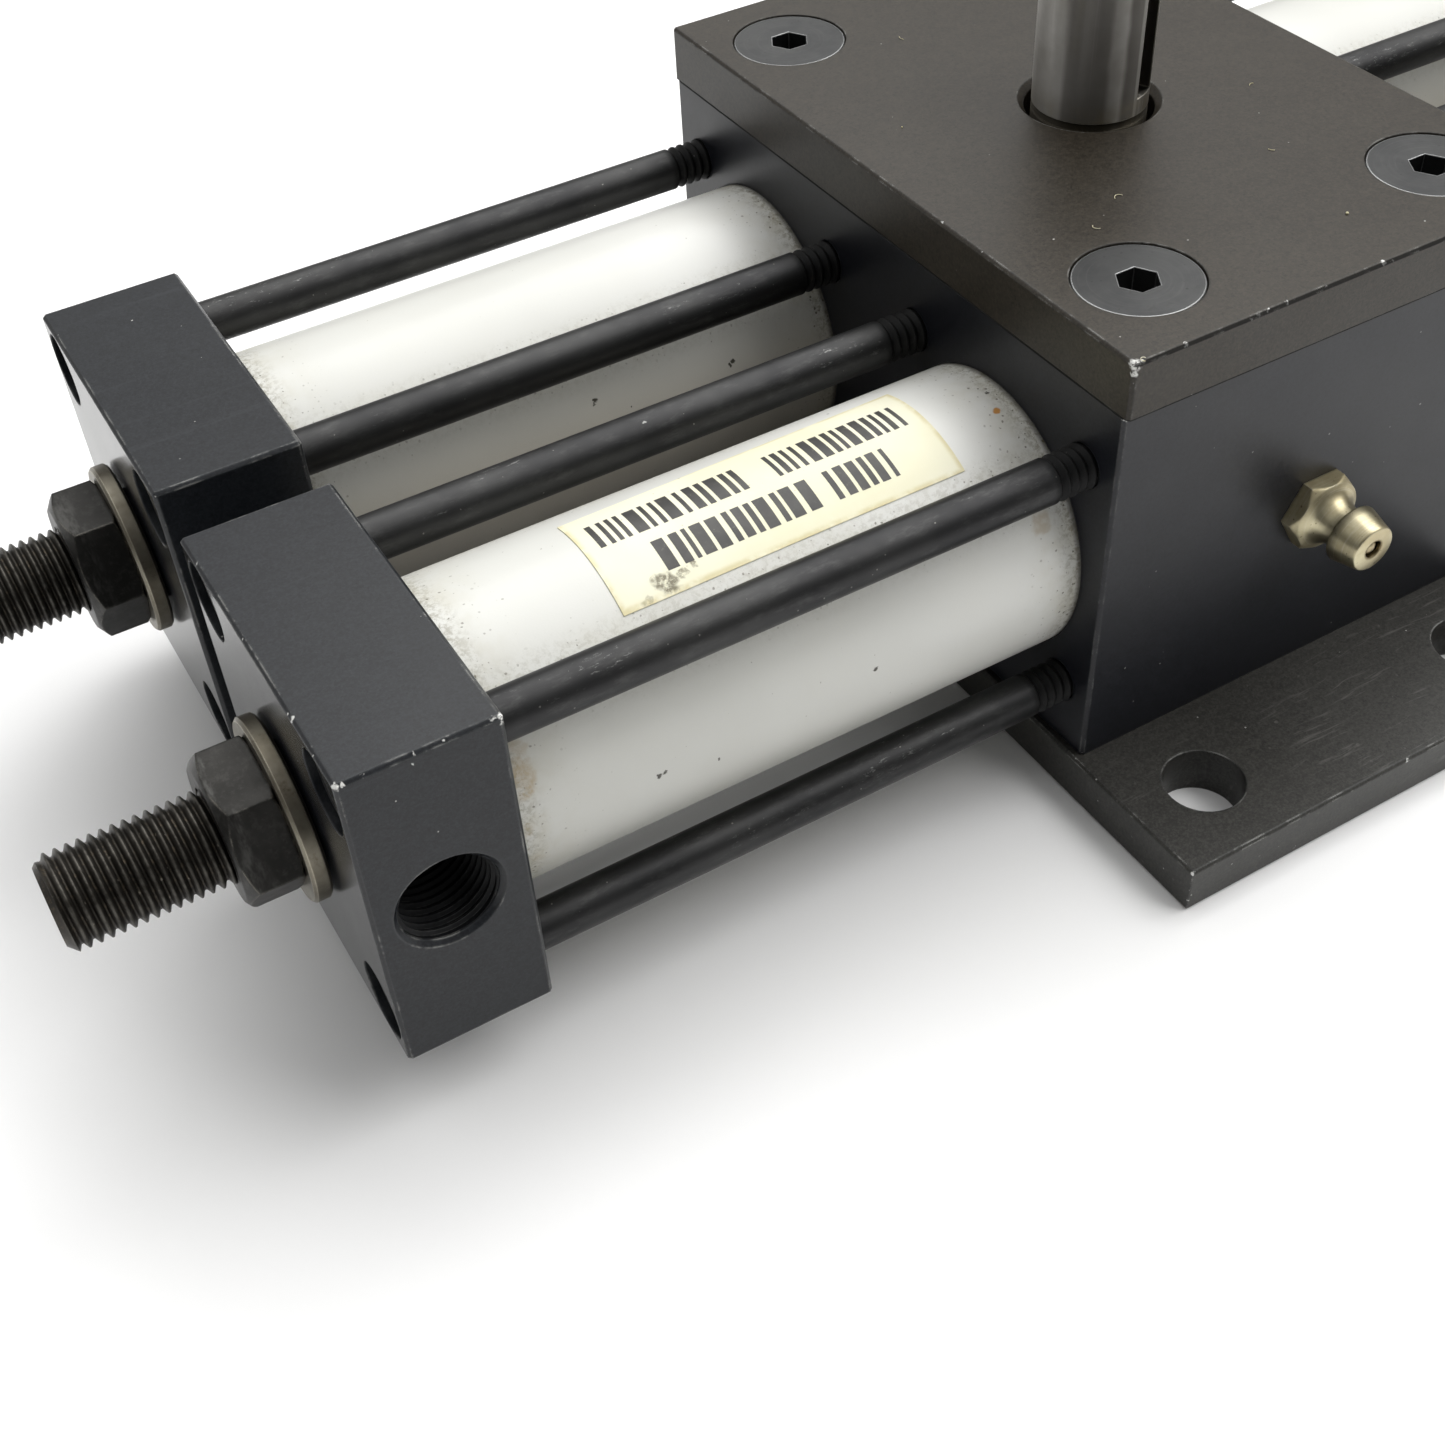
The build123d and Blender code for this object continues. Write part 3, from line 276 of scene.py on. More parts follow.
COVER_CHIPS = [
    (-28.5, -42.5, 57.1, 1.25, 1.0), (-28.5, -42.5, 56.0, 0.6, 0.95),
    (-28.55, -42.55, 55.0, 0.32, 0.8), (-27.6, -42.5, 57.1, 0.55, 0.9),
    (-22.6, -42.5, 57.1, 0.40, 1.0), (-13.9, -42.5, 57.1, 0.42, 1.0),
    (-12.6, -42.5, 57.05, 0.34, 0.95), (-14.8, -42.5, 57.1, 0.25, 0.8),
    (-10.4, -42.5, 57.1, 0.32, 0.9), (-9.4, -42.5, 57.1, 0.24, 0.8),
    (-5.6, -42.5, 57.1, 0.24, 0.8), (1.8, -42.5, 57.1, 0.40, 0.95),
    (2.9, -42.5, 57.0, 0.22, 0.7), (-28.5, -12.2, 57.1, 0.34, 0.95),
    (-28.5, -19.0, 57.1, 0.22, 0.6), (-21.0, -42.55, 50.95, 0.22, 0.9),
    (28.5, -42.5, 57.1, 0.5, 0.9), (28.5, 42.5, 57.1, 0.55, 0.9),
    (-28.5, 42.5, 57.1, 0.45, 0.9), (14.0, 42.5, 57.1, 0.3, 0.8),
]
BODY_CHIPS = [
    (-28.4, -42.0, 50.7, 0.35, 0.9), (-28.4, -42.0, 6.2, 0.30, 0.7),
    (28.4, 42.0, 6.2, 0.3, 0.7), (28.4, -42.0, 30.0, 0.25, 0.7),
]
FLANGE_CHIPS = [
    (-29.45, -61.6, 5.8, 0.50, 0.9), (-29.4, -61.6, 3.0, 0.28, 0.8),
    (-29.4, -61.6, 1.6, 0.24, 0.8), (-29.4, -61.6, 0.3, 0.30, 0.8),
    (29.4, -61.6, 5.8, 0.5, 0.9), (29.4, 61.6, 5.8, 0.4, 0.9),
    (-29.4, 61.6, 5.8, 0.5, 0.9), (0.5, -61.6, 5.8, 0.3, 0.8),
]
NUT_CHIPS = [
    (-115.3, -27.3, 35.2, 0.30, 0.7), (-114.8, 18.2, 35.4, 0.28, 0.7),
    (-110.9, -30.9, 29.9, 0.35, 0.8),
]
# marks on the tubes: x, angle (degrees), axis y, radius (mm), strength
TUBE_DARK = [
    (-78.07, 179.6, FRONT_Y, 0.42, 1.0), (-77.4, 179.0, FRONT_Y, 0.25, 1.0),
    (-53.74, 175.6, FRONT_Y, 0.34, 1.0), (-71.6, 184.5, FRONT_Y, 0.22, 0.9),
    (-30.4, 93.0, FRONT_Y, 0.30, 1.0), (-88.0, 128.0, FRONT_Y, 0.25, 0.9),
    (-41.83, 156.8, REAR_Y, 0.36, 1.0), (-42.3, 158.4, REAR_Y, 0.30, 1.0),
    (-59.14, 152.0, REAR_Y, 0.38, 1.0), (-59.3, 153.4, REAR_Y, 0.28, 0.9),
    (-55.16, 159.9, REAR_Y, 0.24, 1.0),
]
TUBE_CHIPS = [(-31.06, 103.0, FRONT_Y, 0.52, 1.0)]
TUBE_RUST = [
    (-91.2, 154.5, FRONT_Y, 1.9, 0.75), (-91.6, 160.0, FRONT_Y, 1.3, 0.8),
    (-90.6, 146.0, FRONT_Y, 1.4, 0.45), (-32.5, 147.0, FRONT_Y, 1.6, 0.5),
    (-27.4, 100.0, REAR_Y, 1.0, 0.5), (-29.5, 128.0, REAR_Y, 0.6, 0.8),
    (88.0, 110.0, FRONT_Y, 1.4, 0.5), (91.0, 70.0, REAR_Y, 1.2, 0.5),
]
LABEL_WEAR = [
    (-71.2, 115.0, FRONT_Y, 1.5, 1.0), (-69.2, 114.4, FRONT_Y, 0.9, 0.9),
    (-67.8, 113.2, FRONT_Y, 0.6, 0.9), (-73.9, 119.0, FRONT_Y, 0.7, 0.5),
]


def on_tube(marks, radius=TUBE_RADIUS):
    return [(*tube_point(x, degrees, axis_y, radius), size, strength)
            for x, degrees, axis_y, size, strength in marks]


# ------------------------------------------------------------------ materials
def anodised(name, dark, light, rough, grazing, streaks, wear, ior, specular, specks=1.0,
             chips=(), pits=0.0, scuffs=0.0, bevel=0.00032, seam=False, edge_tint=0.16):
    """Dark anodising; `grazing` is its roughness when seen edge-on."""
    s = Shader(name)
    s.two_tone(dark, light, off=0.36, on=0.64, scale=32, detail=3.0, rough=0.6)
    s.paint(s.patches(off=0.42, on=0.78, scale=900), brighter(light, 1.8, 0.002), amount=0.35)
    # draw lines along the bar
    lines = s.noise(stretch=(9, 620, 620), detail=5.0, rough=0.72)
    line_mask = s.mul(s.step(lines, off=0.54, on=0.76), 0.62 * streaks)
    s.paint(line_mask, brighter(light, 2.0, 0.006))
    speckle = s.patches(off=0.40, on=0.66, scale=3000, detail=3.0, rough=0.8)
    s.paint(speckle, brighter(light, 2.2, 0.003), amount=0.55)
    hollow = s.patches(off=0.52, on=0.66, scale=2300, detail=3.0, rough=0.8)
    s.paint(hollow, brighter(dark, 0.35), amount=0.55)
    s.uneven_rough(base=rough - 0.07, swing=0.14, scale=120, rough=0.6)
    s.rough = s.add(s.rough, s.mul(speckle, 0.05))
    s.set_rough(line_mask, to=rough + 0.10)
    height = s.add(s.mul(s.noise(scale=2600, detail=3.0), 0.8), s.mul(lines, 0.35 * streaks))
    if scuffs:
        marks = s.noise(warp=(60, 0.004), stretch=(90, 1400, 500), detail=3.0, rough=0.8)
        patch = s.patches(off=0.47, on=0.60, scale=62, detail=2.0, rough=0.5)
        s.paint(s.mul(s.step(marks, off=0.55, on=0.70), patch), (0.16, 0.155, 0.145),
                amount=scuffs)
    if pits:
        pit = s.specks(warp=(1500, 0.0004), per_m=420, radius=0.16)
        s.paint(pit, (0.10, 0.098, 0.09), amount=pits)
        height = s.add(height, s.mul(pit, -3.0))
    # dust and lint
    s.paint(s.specks(warp=(2200, 0.00022), per_m=380, radius=0.075), (0.50, 0.50, 0.47),
            amount=0.85 * specks)
    s.paint(s.patches(off=0.62, on=0.80, scale=4200, detail=2.0, rough=0.6),
            (0.08, 0.08, 0.079), amount=0.16 * specks)
    # worn edges
    bevelled = s.bevel(bevel, samples=5)
    edge = s.edge(bevelled)
    broken = s.patches(off=0.50, on=0.62, scale=210, detail=5.0, rough=0.72)
    worn = s.mul(s.mul(edge, broken), wear)
    s.paint(edge, (0.12, 0.125, 0.13), amount=edge_tint)
    s.paint(worn, (0.36, 0.36, 0.34))
    if chips:
        points = [(x, y, z, radius * 0.78, strength) for x, y, z, radius, strength in chips]
        chip = s.mul(s.spots(points, warp=(1500, 0.0010)),
                     s.patches(off=0.36, on=0.52, scale=2400, detail=3.0, rough=0.75))
        s.paint(chip, (0.80, 0.80, 0.77))
        s.set_rough(chip, to=0.30)
        height = s.add(height, s.mul(chip, -2.0))
    if seam:
        # dark joint line around the sides
        x, y, z = s.xyz(s.coord)
        side = s.top(s.step(s.abs(y), off=0.0418, on=0.0419),
                     s.step(s.abs(x), off=0.0283, on=0.0284))
        line = s.mul(s.step(s.abs(s.minus(z, SEAM_Z * MM)), off=0.00017, on=0.00009), side)
        s.paint(line, (0.002, 0.002, 0.002), amount=0.92)
        s.set_rough(line, to=0.9)
        # dark strip on the front face just under the cover's top edge, except where worn
        cut = s.mul(s.step(y, off=-0.04232, on=-0.04240), s.step(z, off=0.05672, on=0.05680))
        cut = s.mul(cut, s.step(z, off=0.05712, on=0.05706))
        cut = s.mul(cut, s.minus(1.0, s.mul(worn, 0.9)))
        s.paint(cut, (0.003, 0.0028, 0.0025), amount=0.85)
        s.set_rough(cut, to=0.75)
    facing = s.node("ShaderNodeLayerWeight", {"Blend": 0.5}, out="Facing")
    s.set_rough(s.math("POWER", facing, 4.0), to=grazing, amount=1.0)
    return s.finish(height, distance=0.0000045, bevel=bevelled,
                    more={"IOR": ior, "Specular IOR Level": specular})


def satin_metal(name, base, rough, metallic=1.0, grain=1.0, wear=0.5,
                wear_color=(0.75, 0.74, 0.71), lines=None, stain=None, stain_amount=0.0):
    """Bare metal with blotches, fine scratches stretched by `lines`, stains and worn edges."""
    s = Shader(name)
    light = brighter(base, 1.35)
    s.two_tone(base, light, off=0.32, on=0.68, scale=40, rough=0.6)
    s.paint(s.patches(off=0.45, on=0.80, scale=1400, rough=0.72), brighter(light, 1.7, 0.01),
            amount=0.45)
    height = s.mul(s.noise(scale=3000, detail=3.0), grain)
    s.uneven_rough(base=rough - 0.08, swing=0.16, scale=160, rough=0.65)
    if lines:
        scratches = s.noise(stretch=lines, rough=0.75)
        s.paint(s.step(scratches, off=0.55, on=0.78), brighter(light, 1.9, 0.02), amount=0.40)
        height = s.add(height, s.mul(scratches, 1.3))
    if stain:
        stained = s.patches(off=0.50, on=0.72, scale=75, detail=5.0, distort=0.6)
        stained = s.mul(stained, stain_amount)
        s.paint(stained, stain)
        s.set_rough(stained, to=min(1.0, rough + 0.25))
    bevel = s.bevel(0.00022, samples=5)
    edge = s.edge(bevel, on=0.10)
    broken = s.patches(off=0.42, on=0.60, scale=320)
    s.paint(s.mul(edge, s.add(s.mul(broken, 0.75), 0.25)), wear_color, amount=wear)
    return s.finish(height, distance=0.000004, bevel=bevel, metallic=metallic)


def shaft_material():
    """Ground steel with rings around the bar and painted reflections: dark strips up it."""
    s = Shader("shaft_steel_ground")
    x, y, z = s.xyz(s.coord)
    rings = s.noise(stretch=(30, 30, 5200), rough=0.8)
    smear = s.noise(stretch=(420, 420, 26))
    s.two_tone((0.36, 0.345, 0.32), (0.46, 0.45, 0.43), off=0.40, on=0.70, scale=95, rough=0.65)
    s.paint(s.step(smear, off=0.5, on=0.8), (0.62, 0.61, 0.58), amount=0.35)
    s.paint(s.step(rings, off=0.55, on=0.80), (0.66, 0.65, 0.62), amount=0.25)
    # painted reflections: dark strips at fixed angles about Z in radians, with wavering edges
    waver = s.minus(s.noise(stretch=(260, 260, 60), detail=3.0, rough=0.6), 0.5)
    angle = s.add(s.math("ARCTAN2", y, x), s.mul(waver, 0.22))

    def strip(start, full, fade, end):
        return s.mul(s.step(angle, off=start, on=full), s.step(angle, off=end, on=fade))

    reflection_band_a = strip(start=-2.80, full=-2.68, fade=-2.10, end=-1.98)
    reflection_band_b = strip(start=-1.78, full=-1.66, fade=-0.75, end=-0.35)
    reflection_band_c = strip(start=0.9, full=1.2, fade=1.8, end=2.2)
    # painted reflection: the strips darken the steel, the second one most
    s.paint(s.top(reflection_band_a, reflection_band_b, s.mul(reflection_band_c, 0.7)), (0.15, 0.140, 0.128), amount=0.66)
    s.paint(reflection_band_b, (0.060, 0.055, 0.048), amount=0.42)
    s.paint(s.patches(off=0.58, on=0.70, stretch=(900, 900, 12), detail=3.0, rough=0.6),
            (0.55, 0.54, 0.51), amount=0.35)
    # grease film close to the cover
    film = s.mul(s.step(z, off=0.0600, on=0.0570),
                 s.patches(off=0.30, on=0.75, scale=240, detail=3.0, rough=0.6))
    s.paint(film, (0.30, 0.255, 0.16), amount=0.75)
    s.paint(s.specks(warp=(1800, 0.0004), per_m=380, radius=0.10), (0.16, 0.155, 0.15),
            amount=0.5)
    bevel = s.bevel(0.00022, samples=5)
    s.paint(s.edge(bevel), (0.75, 0.72, 0.62), amount=0.5)
    # painted shade: darker where the shaft sits below the cover's top
    sunk_shade = s.step(z, off=0.0574, on=0.0570)
    s.paint(sunk_shade, (0.055, 0.047, 0.033), amount=0.90)
    s.uneven_rough(base=0.33, swing=0.10, scale=260)
    s.set_rough(sunk_shade, to=0.6)
    height = s.add(s.mul(rings, 1.0), s.mul(smear, 0.4))
    tangent = s.node("ShaderNodeTangent", direction_type="RADIAL", axis="Z")
    return s.finish(height, distance=0.0000035, bevel=bevel, metallic=1.0, more={
        "Anisotropic": 1.0, "Anisotropic Rotation": 0.25, "Tangent": tangent})


def tube_material():
    """Satin white paint: even and smooth, dusty beside the bolts, grubby at both ends, with painted
    light near the housing and painted shade below and between the cylinders.
    """
    s = Shader("tube_satin_white")
    x, y, _ = s.xyz(s.coord)
    along = s.abs(x)
    end = s.top(s.step(along, off=0.0318, on=0.0287), s.step(along, off=0.0890, on=0.0930))
    wide_end = s.top(s.step(along, off=0.0370, on=0.0290), s.step(along, off=0.0840, on=0.0930))
    side, up = s.from_axis()
    beside = s.step(s.abs(s.minus(s.abs(side), 0.0104)), off=0.0036, on=0.0008)
    beside = s.mul(beside, s.step(up, off=-0.002, on=0.006))
    s.two_tone((0.575, 0.576, 0.541), (0.620, 0.622, 0.588), scale=26, detail=3.0, rough=0.6)
    # painted light: the paint is lighter towards the housing end of each tube
    s.paint(s.step(along, off=0.0640, on=0.0340), (0.710, 0.713, 0.686), amount=0.75)
    # painted shade, tinted brown, on the sides that face the other cylinder, where the two tubes
    # shade each other
    inner = s.mul(s.step(s.abs(y), off=0.0150, on=0.0080), s.step(up, off=0.011, on=0.002))
    s.paint(inner, (0.33, 0.285, 0.215), amount=0.55)
    # painted shade: darker on the underside, below the tube's axis
    s.paint(s.step(up, off=0.001, on=-0.010), (0.38, 0.37, 0.33), amount=0.30)
    grain = s.noise(scale=5200, detail=2.0, rough=0.6)
    s.paint(s.step(grain, off=0.50, on=0.72), (0.66, 0.65, 0.61), amount=0.08)
    s.paint(s.patches(off=0.40, on=0.72, scale=110, rough=0.62), (0.62, 0.60, 0.53),
            amount=0.10)
    # ingrained dirt
    grime = s.mul(s.patches(off=0.44, on=0.62, warp=(420, 0.0014), scale=1500, detail=5.0,
                            rough=0.80), s.top(end, s.mul(beside, 0.40)))
    s.paint(grime, (0.20, 0.18, 0.12), amount=0.78)
    film = s.mul(s.patches(off=0.36, on=0.70, scale=170, rough=0.65),
                 s.top(wide_end, s.mul(beside, 0.45)))
    s.paint(film, (0.46, 0.43, 0.32), amount=0.46)
    stain = s.patches(off=0.58, on=0.72, scale=130, detail=5.0, rough=0.75, distort=0.8)
    s.paint(s.mul(stain, end), (0.33, 0.25, 0.12), amount=0.65)
    rim = s.top(s.step(along, off=0.02935, on=0.02862), s.step(along, off=0.0926, on=0.0931))
    s.paint(rim, (0.06, 0.055, 0.045), amount=0.80)
    # specks: fine ones at the ends and bolts, then small and large ones everywhere
    pepper = s.specks(warp=(2600, 0.0003), per_m=1500, radius=0.095)
    s.paint(s.mul(pepper, s.top(wide_end, s.mul(beside, 0.9))), (0.085, 0.072, 0.045),
            amount=0.85)
    s.paint(s.specks(warp=(2600, 0.0003), per_m=620, radius=0.06, spread=0.95),
            (0.16, 0.145, 0.10), amount=0.55)
    s.paint(s.specks(warp=(2400, 0.0005), per_m=120, radius=0.15, spread=0.85),
            (0.07, 0.065, 0.05), amount=0.8)
    smear = s.patches(off=0.62, on=0.76, stretch=(60, 260, 260))
    s.paint(smear, (0.60, 0.60, 0.57), amount=0.14)
    # single marks
    rust = s.mul(s.spots(on_tube(TUBE_RUST), warp=(500, 0.003)),
                 s.patches(off=0.28, on=0.62, scale=700, detail=5.0, rough=0.75))
    s.paint(rust, (0.36, 0.24, 0.09), amount=0.75)
    s.paint(s.spots(on_tube(TUBE_CHIPS), warp=(1500, 0.0004)), (0.50, 0.24, 0.06))
    s.paint(s.spots(on_tube(TUBE_DARK), warp=(1500, 0.0009)), (0.045, 0.042, 0.03))
    s.uneven_rough(base=0.26, swing=0.08, scale=220, rough=0.6)
    s.set_rough(s.top(grime, film), to=0.55, amount=0.8)
    height = s.add(grain, s.mul(s.noise(scale=1200, detail=2.0, rough=0.5), 0.8))
    return s.finish(height, distance=0.0000045, more={"IOR": 1.50})


def rod_material():
    """Black-oxide bolt shanks: dry, slightly mottled, rubbed along the top, scuffed in places."""
    s = Shader("black_oxide_bolts")
    s.two_tone((0.034, 0.034, 0.035), (0.050, 0.050, 0.050), scale=60, rough=0.6)
    s.paint(s.patches(off=0.48, on=0.76, stretch=(300, 900, 900), rough=0.75),
            (0.085, 0.085, 0.084), amount=0.50)
    # rubs on the upper sides: short lengthwise marks gathered in patches
    up = s.step(s.xyz(s.normal())[2], off=-0.15, on=0.75)
    patch = s.patches(off=0.53, on=0.64, stretch=(48, 190, 190), detail=3.0, rough=0.65)
    mark = s.patches(off=0.57, on=0.72, warp=(700, 0.0006), stretch=(520, 2100, 2100),
                     rough=0.82)
    rub = s.mul(s.mul(patch, mark), up)
    s.paint(rub, (0.34, 0.34, 0.33), amount=0.60)
    nick = s.specks(warp=(1500, 0.0006), stretch=(0.5, 1.0, 1.0), per_m=420, radius=0.09)
    nick = s.mul(s.mul(nick, up), s.patches(off=0.48, on=0.56, scale=40, detail=2.0, rough=0.5))
    s.paint(nick, (0.50, 0.50, 0.48), amount=0.75)
    # dark where the shank nears the housing
    root = s.step(s.abs(s.xyz(s.coord)[0]), off=0.0340, on=0.0331)
    s.paint(root, (0.013, 0.013, 0.013), amount=0.70)
    s.paint(s.specks(warp=(2500, 0.0002), per_m=700, radius=0.07), (0.30, 0.29, 0.27),
            amount=0.5)
    bevel = s.bevel(0.00012, samples=4)
    edge = s.mul(s.edge(bevel, off=0.01, on=0.2), 0.16)
    s.paint(s.mul(edge, s.minus(1.0, root)), (0.18, 0.18, 0.175))
    s.uneven_rough(base=0.36, swing=0.18, scale=380)
    s.set_rough(root, to=0.60)
    s.set_rough(rub, to=0.32, amount=0.6)
    height = s.add(s.noise(scale=2100, rough=0.75), s.mul(rub, -0.8))
    return s.finish(height, distance=0.0000065, bevel=bevel, metallic=0.92)


def stud_material():
    """Dark oil-blackened thread: brown-black roots, rubbed lighter crests."""
    s = Shader("black_oxide_thread")
    radius = s.hypot(*s.from_axis())
    crest = s.step(radius, off=0.00432, on=0.00474)
    s.two_tone((0.026, 0.0235, 0.020), (0.040, 0.036, 0.031), scale=120, rough=0.65)
    rub = s.mul(crest, s.patches(off=0.34, on=0.66, stretch=(600, 900, 900)))
    s.paint(rub, (0.15, 0.142, 0.125), amount=0.55)
    root = s.step(radius, off=0.00436, on=0.00420)
    s.paint(s.mul(root, s.patches(off=0.50, on=0.64, scale=1900, rough=0.75)),
            (0.11, 0.088, 0.06), amount=0.55)
    s.paint(s.specks(warp=(2000, 0.0003), per_m=900, radius=0.09), (0.34, 0.31, 0.26),
            amount=0.6)
    bevel = s.bevel(0.00010, samples=4)
    s.uneven_rough(base=0.36, swing=0.2, scale=700)
    return s.finish(s.noise(scale=2600, rough=0.75), distance=0.000008, bevel=bevel,
                    metallic=0.9)


def nut_material():
    """Black oxide with flats rubbed by the spanner."""
    s = Shader("black_oxide_nut")
    x = s.xyz(s.coord)[0]
    s.two_tone((0.024, 0.0235, 0.022), (0.038, 0.037, 0.035), scale=110, rough=0.65)
    mottle = s.noise(scale=1100, detail=5.0, rough=0.78)
    s.paint(s.step(mottle, off=0.46, on=0.74), (0.075, 0.073, 0.069), amount=0.42)
    # the outer end of each flat is rubbed by the spanner
    spanner = s.mul(s.step(x, off=-0.1128, on=-0.1152),
                    s.patches(off=0.50, on=0.70, stretch=(500, 160, 160)))
    s.paint(spanner, (0.17, 0.168, 0.16), amount=0.35)
    bevel = s.bevel(0.00035, samples=6)
    edge = s.edge(bevel, on=0.12)
    broken = s.patches(off=0.44, on=0.62, scale=420)
    s.paint(edge, (0.10, 0.097, 0.09), amount=0.25)
    s.paint(s.mul(edge, broken), (0.34, 0.32, 0.28), amount=0.55)
    s.paint(s.spots(NUT_CHIPS, warp=(1600, 0.0008)), (0.72, 0.68, 0.58))
    s.uneven_rough(base=0.33, swing=0.2, scale=420)
    height = s.add(s.noise(scale=1700, rough=0.75), s.mul(mottle, 0.5))
    return s.finish(height, distance=0.000008, bevel=bevel, metallic=0.9)


def washer_material():
    """Plated washers with turned rings about each cylinder axis."""
    s = Shader("washer_plated")
    side, up = s.from_axis()
    radius = s.hypot(side, up)
    rings = s.noise(at=s.combine(radius, side, up, scales=(2600.0, 60.0, 60.0)), rough=0.75)
    s.two_tone((0.150, 0.134, 0.102), (0.225, 0.207, 0.166), scale=150)
    s.paint(s.step(rings, off=0.50, on=0.75), (0.28, 0.265, 0.225), amount=0.5)
    s.paint(s.patches(off=0.52, on=0.70, scale=380, detail=5.0, rough=0.75),
            (0.085, 0.065, 0.042), amount=0.7)
    bevel = s.bevel(0.00020, samples=5)
    s.paint(s.edge(bevel, on=0.12), (0.62, 0.58, 0.48), amount=0.85)
    s.uneven_rough(base=0.30, swing=0.2, scale=500)
    height = s.add(rings, s.mul(s.noise(scale=1900, detail=3.0), 0.8))
    return s.finish(height, distance=0.000007, bevel=bevel, metallic=1.0)


def screw_material():
    """Countersunk socket heads: dark satin steel with fine pits and a rubbed rim."""
    s = Shader("screw_steel_dark")
    x, y, _ = s.xyz(s.coord)
    # distance from the nearest of four centres, mirrored in X and Y
    radius = s.hypot(s.minus(s.abs(x), 0.0191), s.minus(s.abs(y), 0.0315))
    s.two_tone((0.056, 0.057, 0.058), (0.074, 0.075, 0.075), scale=130, rough=0.65)
    turned = s.noise(at=s.combine(radius, x, y, scales=(4200.0, 90.0, 90.0)))
    s.paint(s.step(turned, off=0.48, on=0.76), (0.13, 0.13, 0.128), amount=0.32)
    s.paint(s.specks(warp=(2600, 0.0003), per_m=1100, radius=0.09), (0.035, 0.034, 0.032),
            amount=0.6)
    s.paint(s.patches(off=0.56, on=0.72, scale=520, detail=5.0, rough=0.75, distort=0.5),
            (0.050, 0.049, 0.046), amount=0.4)
    bevel = s.bevel(0.00020, samples=6)
    s.paint(s.edge(bevel, off=0.003, on=0.06), (0.55, 0.56, 0.56), amount=0.85)
    s.uneven_rough(base=0.36, swing=0.14, scale=600)
    height = s.add(s.mul(turned, 0.7), s.noise(scale=2600, detail=3.0))
    return s.finish(height, distance=0.000005, bevel=bevel, metallic=0.95)


def fitting_material():
    """Pale zinc-plated grease fitting with a warm passivate tint."""
    s = Shader("fitting_plate_warm")
    x, y, z = s.xyz(s.coord)
    up = s.minus(z, CYL_Z * MM)
    radius = s.hypot(x, up)
    s.two_tone((0.41, 0.355, 0.22), (0.54, 0.49, 0.33), scale=260, rough=0.6)
    turned = s.noise(at=s.combine(x, y, up, scales=(80.0, 4200.0, 80.0)), rough=0.75)
    s.paint(s.step(turned, off=0.50, on=0.78), (0.86, 0.82, 0.68), amount=0.35)
    s.paint(s.step(y, off=-0.0424, on=-0.0419), (0.20, 0.17, 0.11), amount=0.6)
    s.paint(s.patches(off=0.52, on=0.70, scale=900, detail=5.0, rough=0.75),
            (0.42, 0.36, 0.22), amount=0.55)
    s.paint(s.specks(warp=(2600, 0.0003), per_m=1500, radius=0.07), (0.12, 0.10, 0.06),
            amount=0.7)
    bevel = s.bevel(0.00018, samples=6)
    s.paint(s.edge(bevel, on=0.12), (0.92, 0.90, 0.78), amount=0.45)
    greasy = s.mul(s.step(radius, off=0.00135, on=0.00105), s.step(y, off=-0.0495, on=-0.0500))
    s.paint(greasy, (0.11, 0.075, 0.030), amount=0.85)
    # the hexagon is drawn stock and stays matt, the turned head is smoother
    s.uneven_rough(base=0.25, swing=0.14, scale=800)
    s.set_rough(s.step(y, off=-0.0452, on=-0.0436), to=0.52)
    height = s.add(turned, s.mul(s.noise(scale=2400, detail=3.0), 0.8))
    return s.finish(height, distance=0.000005, bevel=bevel, metallic=1.0)


def rubber_material():
    s = Shader("rubber_black")
    s.two_tone((0.016, 0.016, 0.017), (0.028, 0.028, 0.029), scale=180, rough=0.6)
    s.paint(s.patches(off=0.55, on=0.74, scale=1300, detail=5.0, rough=0.75),
            (0.075, 0.073, 0.068), amount=0.5)
    s.uneven_rough(base=0.52, swing=0.2, scale=500)
    return s.finish(s.noise(scale=2800), distance=0.00001, more={"IOR": 1.5})


def label_material():
    """Cream vinyl strip: slightly yellowed at its edges, grubby where it was rubbed."""
    s = Shader("label_paper_cream")
    x, y, z = s.xyz(s.coord)
    side, up = s.minus(y, FRONT_Y * MM), s.minus(z, CYL_Z * MM)
    angle = s.math("ARCTAN2", up, side)
    s.two_tone((0.745, 0.720, 0.515), (0.805, 0.785, 0.625), scale=45, detail=3.0, rough=0.6)
    s.paint(s.patches(off=0.50, on=0.80, scale=1400), (0.82, 0.80, 0.64), amount=0.20)
    # yellowed rim
    low, high = math.radians(70.0), math.radians(120.4)
    rim = s.top(s.step(angle, off=low + 0.035, on=low + 0.005),
                s.step(angle, off=high - 0.045, on=high - 0.008),
                s.step(x, off=-0.0757, on=-0.0764), s.step(x, off=-0.0388, on=-0.0382))
    rim = s.mul(rim, s.patches(off=0.25, on=0.60, scale=500, detail=3.0, rough=0.6))
    s.paint(rim, (0.55, 0.47, 0.20), amount=0.65)
    grubby = s.mul(s.spots(on_tube(LABEL_WEAR, radius=15.99), warp=(700, 0.0024)),
                   s.patches(off=0.32, on=0.56, scale=1500, rough=0.75))
    s.paint(grubby, (0.135, 0.115, 0.065), amount=0.92)
    s.paint(s.specks(warp=(2400, 0.0003), per_m=620, radius=0.07), (0.25, 0.23, 0.17),
            amount=0.55)
    s.uneven_rough(base=0.30, swing=0.12, scale=400)
    height = s.add(s.noise(scale=900, detail=3.0, rough=0.6),
                   s.mul(s.noise(scale=160, detail=2.0, rough=0.5), 2.0))
    return s.finish(height, distance=0.000009, more={"IOR": 1.47})


